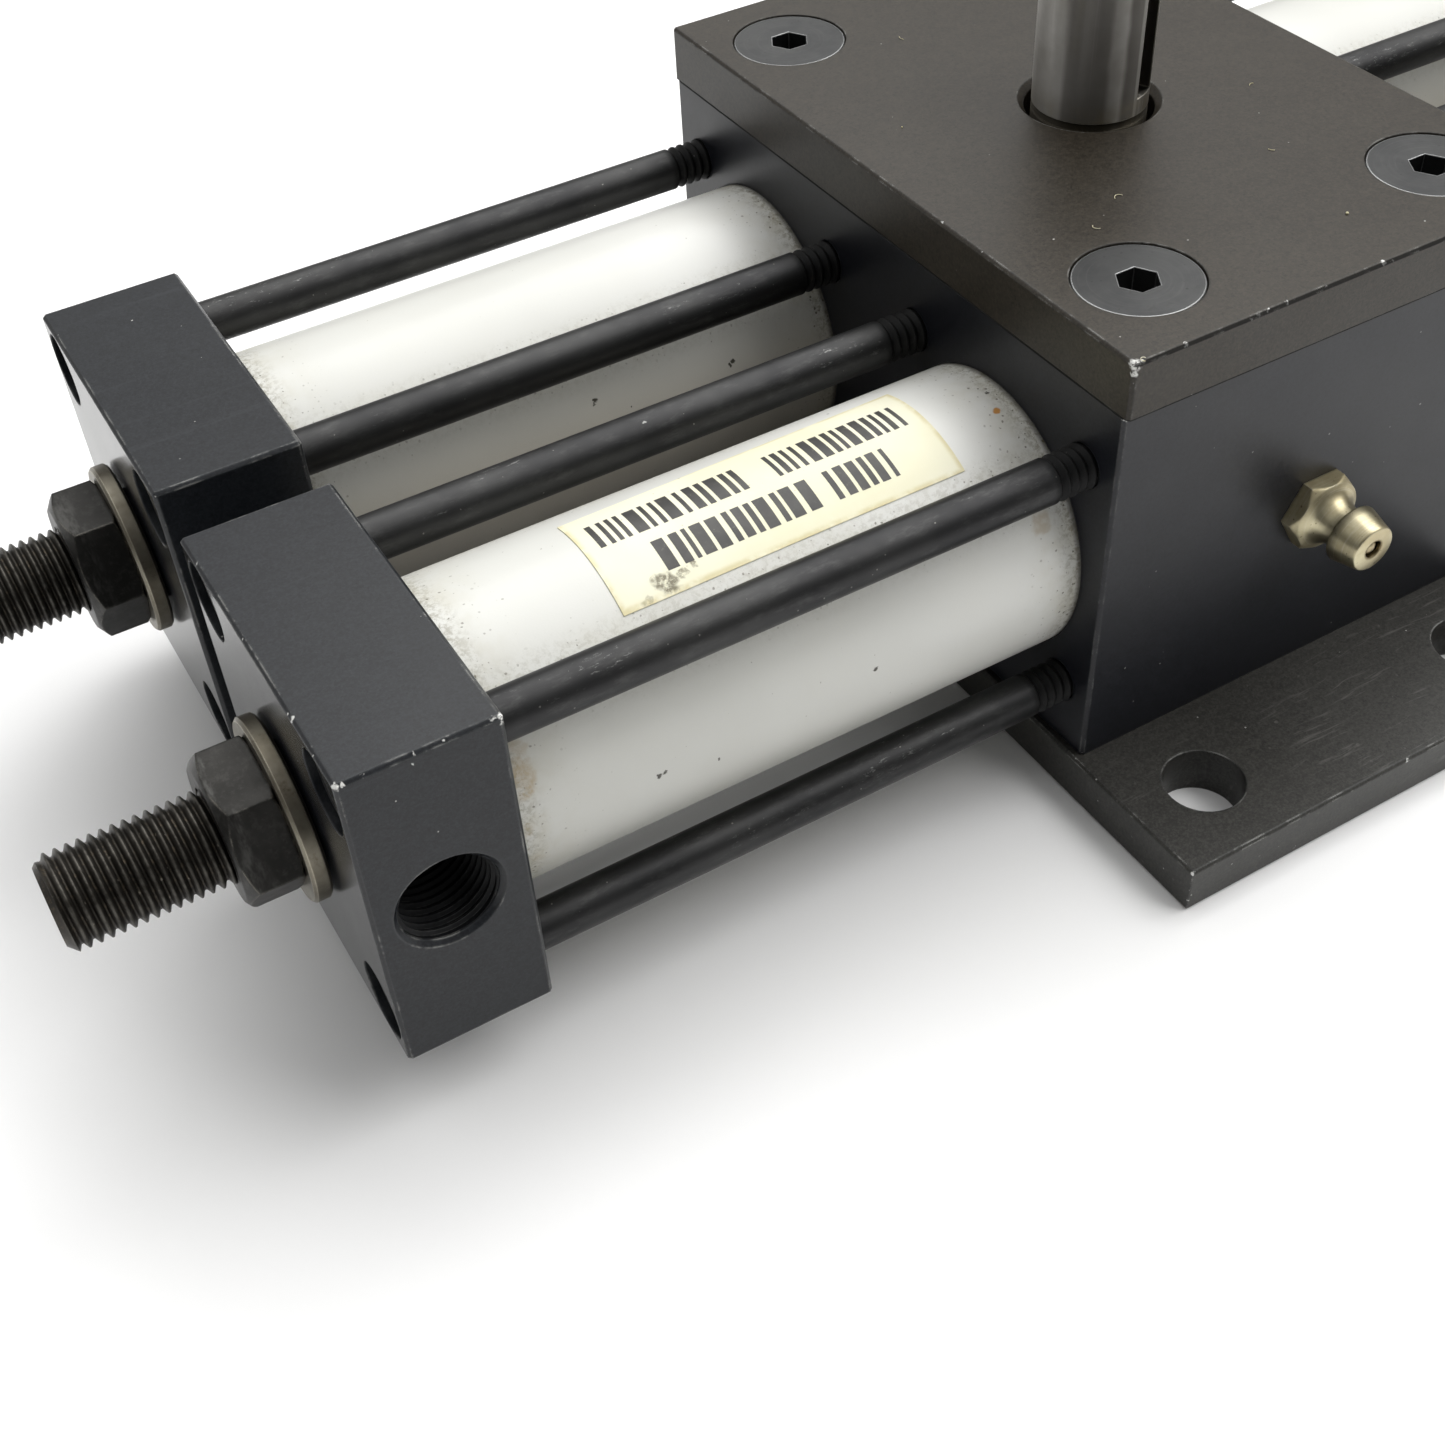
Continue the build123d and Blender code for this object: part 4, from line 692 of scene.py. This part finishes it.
def ink_material():
    """Black print, thin in places."""
    s = Shader("label_ink_black")
    s.two_tone((0.018, 0.017, 0.015), (0.040, 0.038, 0.034), scale=300, rough=0.6)
    s.paint(s.patches(off=0.60, on=0.72, warp=(600, 0.001), scale=1200, detail=5.0, rough=0.8),
            (0.30, 0.29, 0.21), amount=0.40)
    s.uneven_rough(base=0.30, swing=0.15, scale=700)
    return s.finish(s.noise(scale=1500, detail=3.0), distance=0.000006, more={"IOR": 1.48})


# keyed by the name of the CAD material each one stands in for, or by a key used below
MATERIALS = {
    "cap_anodise": anodised(
        "cap_anodised_black", dark=(0.0058, 0.0070, 0.0094), light=(0.0088, 0.0101, 0.0123),
        rough=0.34, grazing=0.12, chips=CAP_CHIPS, streaks=1.35, wear=0.80, ior=1.46,
        specular=0.39, edge_tint=0.34),
    "housing_anodise": anodised(
        "housing_anodised_black", dark=(0.0048, 0.0054, 0.0084), light=(0.0072, 0.0078, 0.0104),
        rough=0.38, grazing=0.18, chips=BODY_CHIPS, streaks=0.45, wear=0.30, specks=0.5,
        ior=1.46, specular=0.43, seam=True),
    "cover_anodise": anodised(
        "cover_anodised_bronze", dark=(0.0175, 0.0140, 0.0095), light=(0.0230, 0.0190, 0.0135),
        rough=0.40, grazing=0.20, chips=COVER_CHIPS, streaks=0.30, wear=0.65, specks=0.8,
        ior=1.47, specular=0.345, seam=True, edge_tint=0.22),
    "flange_anodise": anodised(
        "flange_anodised_brown", dark=(0.0195, 0.0188, 0.0165), light=(0.0270, 0.0262, 0.0232),
        rough=0.42, grazing=0.22, chips=FLANGE_CHIPS, streaks=0.4, wear=0.85, specks=0.9,
        pits=0.5, scuffs=0.38, ior=1.47, specular=0.41, edge_tint=0.22),
    "port_dark": anodised(
        "port_bore_black", dark=(0.0030, 0.0032, 0.0038), light=(0.0052, 0.0055, 0.0062),
        rough=0.50, grazing=0.35, streaks=0.0, wear=0.5, specks=0.3, ior=1.40, specular=0.30,
        bevel=0.00006),
    "ball_greasy": satin_metal(
        "check_ball_steel", base=(0.26, 0.22, 0.14), rough=0.30, grain=0.4, wear=0.0,
        stain=(0.09, 0.06, 0.03), stain_amount=0.6),
    "screw_steel": screw_material(),
    "tube_white": tube_material(),
    "rods": rod_material(),
    "studs": stud_material(),
    "nuts": nut_material(),
    "washer_metal": washer_material(),
    "black_rubber": rubber_material(),
    "shaft": shaft_material(),
    "fitting_plate": fitting_material(),
    "shaft_steel": satin_metal(
        "machined_steel", base=(0.42, 0.41, 0.39), rough=0.30, lines=(300, 300, 300),
        stain=(0.20, 0.17, 0.12), stain_amount=0.4),
    "bearing_steel": satin_metal(
        "bearing_steel", base=(0.60, 0.60, 0.59), rough=0.16, grain=0.4, wear=0.2,
        stain=(0.35, 0.30, 0.20), stain_amount=0.25),
    "bronze": satin_metal(
        "bearing_bronze", base=(0.42, 0.26, 0.11), rough=0.32, wear_color=(0.8, 0.6, 0.35),
        stain=(0.16, 0.09, 0.035), stain_amount=0.5),
    "piston_alloy": satin_metal(
        "piston_alloy", base=(0.66, 0.66, 0.65), rough=0.30, lines=(2400, 120, 120),
        stain=(0.35, 0.33, 0.28), stain_amount=0.3),
    "magnet_strip": satin_metal(
        "magnet_dark", base=(0.055, 0.052, 0.050), rough=0.55, metallic=0.0, wear=0.2,
        wear_color=(0.2, 0.19, 0.18)),
    "label_paper": label_material(),
    "ink": ink_material(),
}

# CAD nodes whose finish goes by node name rather than by their CAD material
BY_NODE = {"pinion_shaft": "shaft", "grease_check_ball": "ball_greasy",
           "cover_screws": "screw_steel", "flange_screws": "screw_steel"}
BY_NAME_PART = {"tie_bolts": "rods", "jam_nut": "nuts", "adjuster_stud": "studs"}


def finish_key(name, cad_key):
    if name in BY_NODE:
        return BY_NODE[name]
    for part, key in BY_NAME_PART.items():
        if part in name:
            return key
    return cad_key


for node_name, cad_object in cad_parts.items():
    slots = cad_object.material_slots
    cad_key = slots[0].material.name.split(".")[0] if slots else "shaft_steel"
    for slot in slots:
        slot.material = MATERIALS[finish_key(node_name, cad_key)]


# ------------------------------------------------------------------ mesh helpers
def build(name, bm, material, body, sharp):
    """Turn a bmesh into a smooth object that rides on `body`; `sharp` is in degrees."""
    bmesh.ops.remove_doubles(bm, verts=bm.verts, dist=2e-8)
    bmesh.ops.dissolve_degenerate(bm, dist=2e-8, edges=bm.edges)
    bmesh.ops.recalc_face_normals(bm, faces=bm.faces)
    mesh = bpy.data.meshes.new(name)
    bm.to_mesh(mesh)
    bm.free()
    for polygon in mesh.polygons:
        polygon.use_smooth = True
    mesh.set_sharp_from_angle(angle=math.radians(sharp))
    obj = bpy.data.objects.new(name, mesh)
    bpy.context.scene.collection.objects.link(obj)
    mesh.materials.append(MATERIALS[material])
    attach(obj, body)
    return obj


def helix_rows(bm, place, length, pitch, knots, radius, seg):
    """A true helical thread; rows past an end fold onto that end's ring.

    knots are (part of the pitch, height from 0 to 1) along one turn of the profile.
    """
    rows = []
    for turn in range(-1, int(math.ceil(length / pitch)) + 2):
        for phase, height in knots:
            row = []
            for i in range(seg):
                along = (turn + phase + i / seg) * pitch
                kept = min(max(along, 0.0), length)
                r = radius(kept, height, 0.0 < along < length)
                row.append(bm.verts.new(place(kept, r, 2 * math.pi * i / seg)))
            rows.append(row)
    # the last column joins the first one a whole turn further on
    turn_rows = len(knots)
    for j in range(len(rows) - 1):
        here, after = rows[j], rows[j + 1]
        for i in range(seg):
            if i < seg - 1:
                bm.faces.new((here[i], here[i + 1], after[i + 1], after[i]))
            elif j + 1 + turn_rows < len(rows):
                bm.faces.new((here[i], rows[j + turn_rows][0], rows[j + 1 + turn_rows][0],
                              after[i]))


def hex_radius(half_flats, angle):
    """Distance from the centre of a hexagon to its side at an angle."""
    from_flat = (angle + math.pi / 6) % (math.pi / 3) - math.pi / 6
    return half_flats / math.cos(from_flat)


def ring(bm, place, along, radius, seg):
    """Loop of vertices; radius is a number or a function of the angle."""
    angles = [2 * math.pi * i / seg for i in range(seg)]
    return [bm.verts.new(place(along, radius(a) if callable(radius) else radius, a))
            for a in angles]


def bridge(bm, *loops):
    """Join each loop to the next with quads."""
    for a, b in zip(loops, loops[1:]):
        for i in range(len(a)):
            j = (i + 1) % len(a)
            bm.faces.new((a[i], a[j], b[j], b[i]))


def fan(bm, loop, centre):
    for i in range(len(loop)):
        bm.faces.new((loop[i], loop[(i + 1) % len(loop)], centre))


# ------------------------------------------------------------------ threads
STUD_OUTER_X, STUD_INNER_X = -131.9, -93.8
STUD_RADIUS, STUD_DEPTH, STUD_PITCH = 4.7625, 0.60, 25.4 / 24
STUD_END_RADIUS = STUD_RADIUS - 0.92
STUD_TAPER = 1.05  # radius gained per mm from either end
STUD_SEG = 84
STUD_KNOTS = [(0.0, 0.93), (0.06, 1.0), (0.17, 1.0), (0.23, 0.93),
              (0.50, 0.08), (0.56, 0.0), (0.67, 0.0), (0.73, 0.08)]
SOCKET_HALF_FLATS, SOCKET_CHAMFER = 2.38, 0.14


def adjuster_stud(name, axis_y, body):
    """Fine-thread stud with a rolled thread, bevelled tip and a hexagon socket in its outer end."""
    length = STUD_INNER_X - STUD_OUTER_X

    def place(along, r, angle):
        return ((STUD_OUTER_X + along) * MM, (axis_y + r * math.cos(angle)) * MM,
                (CYL_Z + r * math.sin(angle)) * MM)

    def radius(along, height, inside):
        if not inside:
            return STUD_END_RADIUS
        return min(STUD_RADIUS - STUD_DEPTH * (1.0 - height),
                   STUD_END_RADIUS + along * STUD_TAPER,
                   STUD_END_RADIUS + (length - along) * STUD_TAPER)

    def socket(angle):
        return hex_radius(SOCKET_HALF_FLATS, angle)

    def socket_lip(angle):
        return socket(angle) + SOCKET_CHAMFER

    bm = bmesh.new()
    helix_rows(bm, place, length, STUD_PITCH, STUD_KNOTS, radius, STUD_SEG)
    # outer end and socket: depth, radius
    profile = [(0.0, STUD_END_RADIUS), (0.0, socket_lip), (SOCKET_CHAMFER, socket),
               (4.6, socket), (4.9, 1.2)]
    loops = [ring(bm, place, along, r, STUD_SEG) for along, r in profile]
    tip = bm.verts.new(place(5.3, 0.0, 0.0))
    bridge(bm, *loops)
    fan(bm, loops[-1], tip)
    # flat inner end
    rim = ring(bm, place, length, STUD_END_RADIUS, STUD_SEG)
    middle = ring(bm, place, length, 1.0, STUD_SEG)
    hub = bm.verts.new(place(length, 0.0, 0.0))
    bridge(bm, rim, middle)
    fan(bm, middle, hub)
    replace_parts(build(name + "_thread", bm, "studs", body, sharp=40.0), name)


adjuster_stud("front_adjuster_stud", FRONT_Y, "front_adjuster")
adjuster_stud("rear_adjuster_stud", REAR_Y, "rear_adjuster")

PORT_BORE, PORT_RADIUS, PORT_DEPTH = 4.992, 4.93, 0.36  # outer radius, root radius, ridge height
PORT_PITCH, PORT_LENGTH = 0.94, 10.4
PORT_START = 0.62  # from the cap's face to the first turn
PORT_TAPER = 0.9  # radius lost per mm from either end
PORT_SEG = 72
PORT_KNOTS = [(0.0, 0.95), (0.10, 1.0), (0.20, 0.95), (0.48, 0.05), (0.60, 0.0), (0.72, 0.05)]


def port_thread(name, side_x, side_y):
    """Pipe thread cut into an air port, as a thin sleeve that lines the plain bore."""
    def place(along, r, angle):
        return ((side_x * CAP_X + r * math.cos(angle)) * MM,
                side_y * (CAP_HALF_Y - PORT_START - along) * MM,
                (CYL_Z + r * math.sin(angle)) * MM)

    def radius(along, height, inside):
        if not inside:
            return PORT_RADIUS
        return max(PORT_RADIUS - PORT_DEPTH * height, PORT_RADIUS - along * PORT_TAPER,
                   PORT_RADIUS - (PORT_LENGTH - along) * PORT_TAPER)

    bm = bmesh.new()
    helix_rows(bm, place, PORT_LENGTH, PORT_PITCH, PORT_KNOTS, radius, PORT_SEG)
    mouth, deep, outer_mouth, outer_deep = [
        ring(bm, place, along, r, PORT_SEG)
        for r in (PORT_RADIUS, PORT_BORE) for along in (0.0, PORT_LENGTH)]
    bridge(bm, mouth, outer_mouth, outer_deep, deep)
    build(name, bm, "port_dark", "housing", sharp=40.0)


for row_name, side_y in (("front", -1), ("rear", 1)):
    for side_name, side_x in (("left", -1), ("right", 1)):
        port_thread(f"{row_name}_{side_name}_port_thread", side_x, side_y)


# ------------------------------------------------------------------ grease fitting
def grease_fitting_body():
    def place(along, r, angle):
        return (r * math.cos(angle) * MM, -along * MM, (CYL_Z + r * math.sin(angle)) * MM)

    def hexagon(limit):
        """Hexagon with its corners cut at a radius."""
        return lambda angle: min(hex_radius(3.97, angle + math.pi / 6), limit)

    # closed outline: distance towards -Y, radius
    outline = [
        (37.9, 3.175), (42.1, 3.175), (42.1, hexagon(9.0)), (43.0, hexagon(9.0)),
        (43.3, hexagon(4.62)),
        *((43.3 + 0.085 * i, hexagon(4.62 - 0.065 * i)) for i in range(1, 11)),
        # cone and waist
        (44.32, 3.62), (44.55, 3.26), (44.85, 2.95), (45.25, 2.68), (45.75, 2.46), (46.3, 2.32),
        (46.8, 2.23), (47.15, 2.2), (47.36, 2.24),
        # head
        (47.42, 3.02), (47.47, 3.20), (47.58, 3.31), (47.74, 3.33), (48.7, 3.11), (49.7, 2.88),
        (50.60, 2.675), (50.74, 2.63), (50.85, 2.55), (50.9, 2.44),
        # bore
        (50.9, 1.06), (50.84, 0.99), (50.72, 0.96), (50.45, 0.95), (50.12, 1.33), (38.0, 1.33),
        (37.3, 1.33), (37.3, 2.6),
    ]
    bm = bmesh.new()
    loops = [ring(bm, place, along, r, 96) for along, r in outline]
    bridge(bm, *loops, loops[0])
    fitting = build("grease_fitting_turned", bm, "fitting_plate", "housing",
                    sharp=28.0)
    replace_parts(fitting, "grease_fitting")


grease_fitting_body()


# ------------------------------------------------------------------ lint
# arcs: centre x, centre y, radius, start angle, swept angle (radians)
FIBRES = [
    (-10.97, -18.73, 0.55, 0.4, 2.6), (-16.39, -21.84, 0.45, 1.9, 3.0),
    (8.15, -19.95, 0.40, 2.6, 2.2), (-27.4, -42.35, 0.30, 0.3, 4.2),
    (16.2, -8.4, 0.6, 1.1, 1.4), (-8.0, 24.0, 0.6, 2.2, 1.8),
]
FIBRE_STEPS = 14
CRUMBS = [(5.19, -33.97, 0.16), (-20.5, 6.3, 0.09), (18.9, 21.4, 0.10)]  # x, y, radius


def fibre(bm, centre_x, centre_y, size, start, sweep):
    """Thin six-sided thread along a slightly arched arc."""
    points = []
    for i in range(FIBRE_STEPS + 1):
        angle = start + sweep * i / FIBRE_STEPS
        arch = 0.05 * math.sin(math.pi * i / FIBRE_STEPS)
        points.append(Vector((centre_x + size * math.cos(angle),
                              centre_y + size * math.sin(angle), COVER_TOP + 0.055 + arch)))
    last = None
    for i, point in enumerate(points):
        ahead = (points[min(i + 1, FIBRE_STEPS)] - points[max(i - 1, 0)]).normalized()
        side = ahead.cross(Vector((0, 0, 1))).normalized()
        up = side.cross(ahead)
        radius = 0.034 if 0 < i < FIBRE_STEPS else 0.012
        angles = [k * math.pi / 3 for k in range(6)]
        loop = [bm.verts.new((point + (side * math.cos(a) + up * math.sin(a)) * radius) * MM)
                for a in angles]
        if last:
            bridge(bm, last, loop)
        else:
            bm.faces.new(loop)
        last = loop
    bm.faces.new(last)


def lint():
    """A few stray pale fibres and crumbs lying on the cover."""
    rng = random.Random(21)
    bm = bmesh.new()
    for row in FIBRES:
        fibre(bm, *row)
    for x, y, radius in CRUMBS:
        matrix = Matrix.Translation((x * MM, y * MM, (COVER_TOP + radius * 0.55) * MM))
        made = bmesh.ops.create_icosphere(bm, subdivisions=2, radius=radius * MM, matrix=matrix)
        for vert in made["verts"]:
            shift = Vector((rng.uniform(-1, 1), rng.uniform(-1, 1), rng.uniform(-0.6, 0.6)))
            vert.co += shift * radius * 0.18 * MM
    build("lint_fibres", bm, "label_paper", "housing", sharp=60.0)


lint()

# ------------------------------------------------------------------ label with plain bars
LABEL_X0, LABEL_X1 = -76.4, -38.1


def label_edges(x):
    """The label's two edge angles in degrees: slightly askew and wavy."""
    t = (x - LABEL_X0) / (LABEL_X1 - LABEL_X0)
    return (71.8 - 2.2 * t + 0.12 * math.sin(9.0 * t),
            120.9 - 0.8 * t + 0.10 * math.sin(7.0 * t + 1.0))


def label_lift(x, degrees):
    """Small waves in the label's surface."""
    return (0.006 * math.sin(x * 0.9 + 0.4) * math.cos(degrees * 0.11)
            + 0.004 * math.sin(x * 2.3 + degrees * 0.2))


def curved_plate(bm, x0, x1, edges, inner, outer, x_steps, turn_steps):
    """Closed plate that follows the front tube; edges(x) gives its two edge angles."""
    def point(i, j, radius):
        x = x0 + (x1 - x0) * i / x_steps
        low, high = edges(x)
        angle = math.radians(low + (high - low) * j / turn_steps)
        r = radius + label_lift(x, math.degrees(angle))
        return (x * MM, (FRONT_Y + r * math.cos(angle)) * MM, (CYL_Z + r * math.sin(angle)) * MM)

    def sheet(radius):
        return [[bm.verts.new(point(i, j, radius)) for j in range(turn_steps + 1)]
                for i in range(x_steps + 1)]

    top, low = sheet(outer), sheet(inner)
    for i in range(x_steps):
        for j in range(turn_steps):
            bm.faces.new((top[i][j], top[i + 1][j], top[i + 1][j + 1], top[i][j + 1]))
            bm.faces.new((low[i][j], low[i][j + 1], low[i + 1][j + 1], low[i + 1][j]))
    for i in range(x_steps):
        bm.faces.new((top[i][0], low[i][0], low[i + 1][0], top[i + 1][0]))
        bm.faces.new((top[i][-1], top[i + 1][-1], low[i + 1][-1], low[i][-1]))
    for j in range(turn_steps):
        bm.faces.new((top[0][j], top[0][j + 1], low[0][j + 1], low[0][j]))
        bm.faces.new((top[-1][j], low[-1][j], low[-1][j + 1], top[-1][j + 1]))


def label_sheet():
    bm = bmesh.new()
    curved_plate(bm, LABEL_X0, LABEL_X1, label_edges, inner=15.882, outer=15.972, x_steps=96,
                 turn_steps=40)
    sheet = build("tube_label_sheet", bm, "label_paper", "housing", sharp=30.0)
    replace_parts(sheet, "tube_label")


def bar_row(bm, rng, start, end, low, high, gap):
    """A row of upright plain bars of mixed width between two angles, with a gap along X."""
    step = 0.25
    x = start
    while x < end - 0.4:
        if gap[0] <= x <= gap[1]:
            x += step
            continue
        width = rng.choice((0.46, 0.62, 0.62, 0.95, 1.25))
        if x + width > end:
            break
        shift = rng.uniform(-0.02, 0.02)
        angles = (low + rng.uniform(-0.1, 0.1), high + rng.uniform(-0.1, 0.1))
        curved_plate(bm, x + shift, x + width + shift, lambda _: angles, inner=15.960,
                     outer=15.9905, x_steps=max(2, int(width / step)), turn_steps=12)
        x += width + rng.choice((0.42, 0.42, 0.60))


def label_bars():
    rng = random.Random(7)
    bm = bmesh.new()
    bar_row(bm, rng, start=-74.7, end=-39.4, low=80.0, high=93.6, gap=(-57.9, -55.2))
    bar_row(bm, rng, start=-70.4, end=-43.7, low=99.2, high=112.4, gap=(-54.2, -51.6))
    build("tube_label_bars", bm, "ink", "housing", sharp=30.0)


label_sheet()
label_bars()


# ------------------------------------------------------------------ stage
scene = bpy.context.scene


def floor_material():
    s = Shader("floor_pale")
    s.color = s.mix(s.noise(scale=3.0, detail=3.0, rough=0.5), (0.90,) * 3, (0.94,) * 3)
    s.rough = 0.62
    return s.finish(s.noise(scale=180, rough=0.6), distance=0.00005, strength=0.5)


def make_floor():
    half = 3  # metres
    corners = [(-half, -half, 0), (half, -half, 0), (half, half, 0), (-half, half, 0)]
    mesh = bpy.data.meshes.new("floor")
    mesh.from_pydata(corners, [], [(0, 1, 2, 3)])
    mesh.materials.append(floor_material())
    floor = bpy.data.objects.new("floor", mesh)
    scene.collection.objects.link(floor)
    floor.location.z = -0.00002  # just under the flange


def make_world():
    """Pale dome, dimmer towards the front left; the camera itself sees a plain backdrop."""
    world = bpy.data.worlds.new("studio")
    scene.world = world
    world.use_nodes = True
    graph = Graph(world.node_tree)
    direction = graph.node("ShaderNodeTexCoord", out="Generated")
    # strength 1.12 away from the dim side, 0.28 towards it
    toward_dim = graph.node("ShaderNodeVectorMath", {0: direction, 1: (-0.50, -0.85, 0.18)},
                            out="Value", operation="DOT_PRODUCT")
    strength = graph.node("ShaderNodeMapRange", {0: toward_dim, 1: -0.05, 2: 0.88, 3: 1.12,
                                                 4: 0.28}, interpolation_type="SMOOTHSTEP")
    # colour by height
    height = graph.node("ShaderNodeSeparateXYZ", {0: direction}, out=2)
    color = graph.node("ShaderNodeValToRGB", {0: height})
    stops = color.node.color_ramp.elements
    stops[0].position, stops[0].color = 0.0, (0.22, 0.205, 0.19, 1)
    stops[1].position, stops[1].color = 1.0, (1.12, 1.12, 1.12, 1)
    for position, value in ((0.22, 0.30), (0.44, 0.48), (0.60, 0.88), (0.75, 1.06)):
        stops.new(position).color = (value, value, value * 0.99, 1)
    dome = graph.node("ShaderNodeBackground", {0: color, 1: strength})
    backdrop = graph.node("ShaderNodeBackground", {0: (0.93, 0.93, 0.92)})
    seen = graph.node("ShaderNodeLightPath", out="Is Camera Ray")
    mixed = graph.node("ShaderNodeMixShader", {0: seen, 1: dome, 2: backdrop})
    output = graph.tree.nodes.new("ShaderNodeOutputWorld")
    graph.put(output.inputs[0], mixed)


def area_light(name, location, target, size, power):
    """Slightly warm rectangular light aimed at a target; size is (width, height) in metres."""
    data = bpy.data.lights.new(name, "AREA")
    data.shape = "RECTANGLE"
    data.size, data.size_y = size
    data.energy = power
    data.color = (1.0, 0.995, 0.985)
    light = bpy.data.objects.new(name, data)
    scene.collection.objects.link(light)
    light.location = location
    aim = Vector(target) - Vector(location)
    light.rotation_euler = aim.to_track_quat("-Z", "Y").to_euler()
    return light


def make_lights():
    area_light("softbox_side", location=(0.55, 0.20, 1.10), target=(0, 0, 0.03),
               size=(1.9, 0.95), power=15.0)
    # two more soft lights stay out of reflections, so the dark anodising isn't washed out
    key = area_light("soft_key_back", location=(0.60, 0.46, 0.95), target=(0, 0, 0.02),
                     size=(0.42, 0.42), power=3.0)
    key.visible_glossy = False
    fill = area_light("soft_fill_front", location=(0.26, -0.42, 0.52),
                      target=(0.060, -0.095, 0.0), size=(0.22, 0.22), power=0.10)
    fill.data.spread = math.radians(62.0)
    fill.visible_glossy = False


def make_camera():
    """Camera above the front left, looking down at the actuator."""
    data = bpy.data.cameras.new("camera")
    camera = bpy.data.objects.new("camera", data)
    scene.collection.objects.link(camera)
    data.lens = 46.57583286290398
    data.sensor_width = 36.0
    data.clip_start, data.clip_end = 0.005, 20.0
    place = Matrix.Translation((-0.129275067808546, -0.14842035050974658, 0.15519961353272446))
    turn = Matrix(((0.8599936582430907, 0.38731599986531134, -0.3322607771465056),
                   (-0.5082408433227765, 0.5915869086385672, -0.62587233099572),
                   (-0.04584924165369128, 0.707114733106161, 0.7056108001327528)))
    camera.matrix_world = place @ turn.to_4x4()
    scene.camera = camera


make_floor()
make_world()
make_lights()
make_camera()

scene.view_settings.view_transform = "Standard"
scene.view_settings.look = "None"
scene.view_settings.exposure = 0.0
scene.view_settings.gamma = 1.0
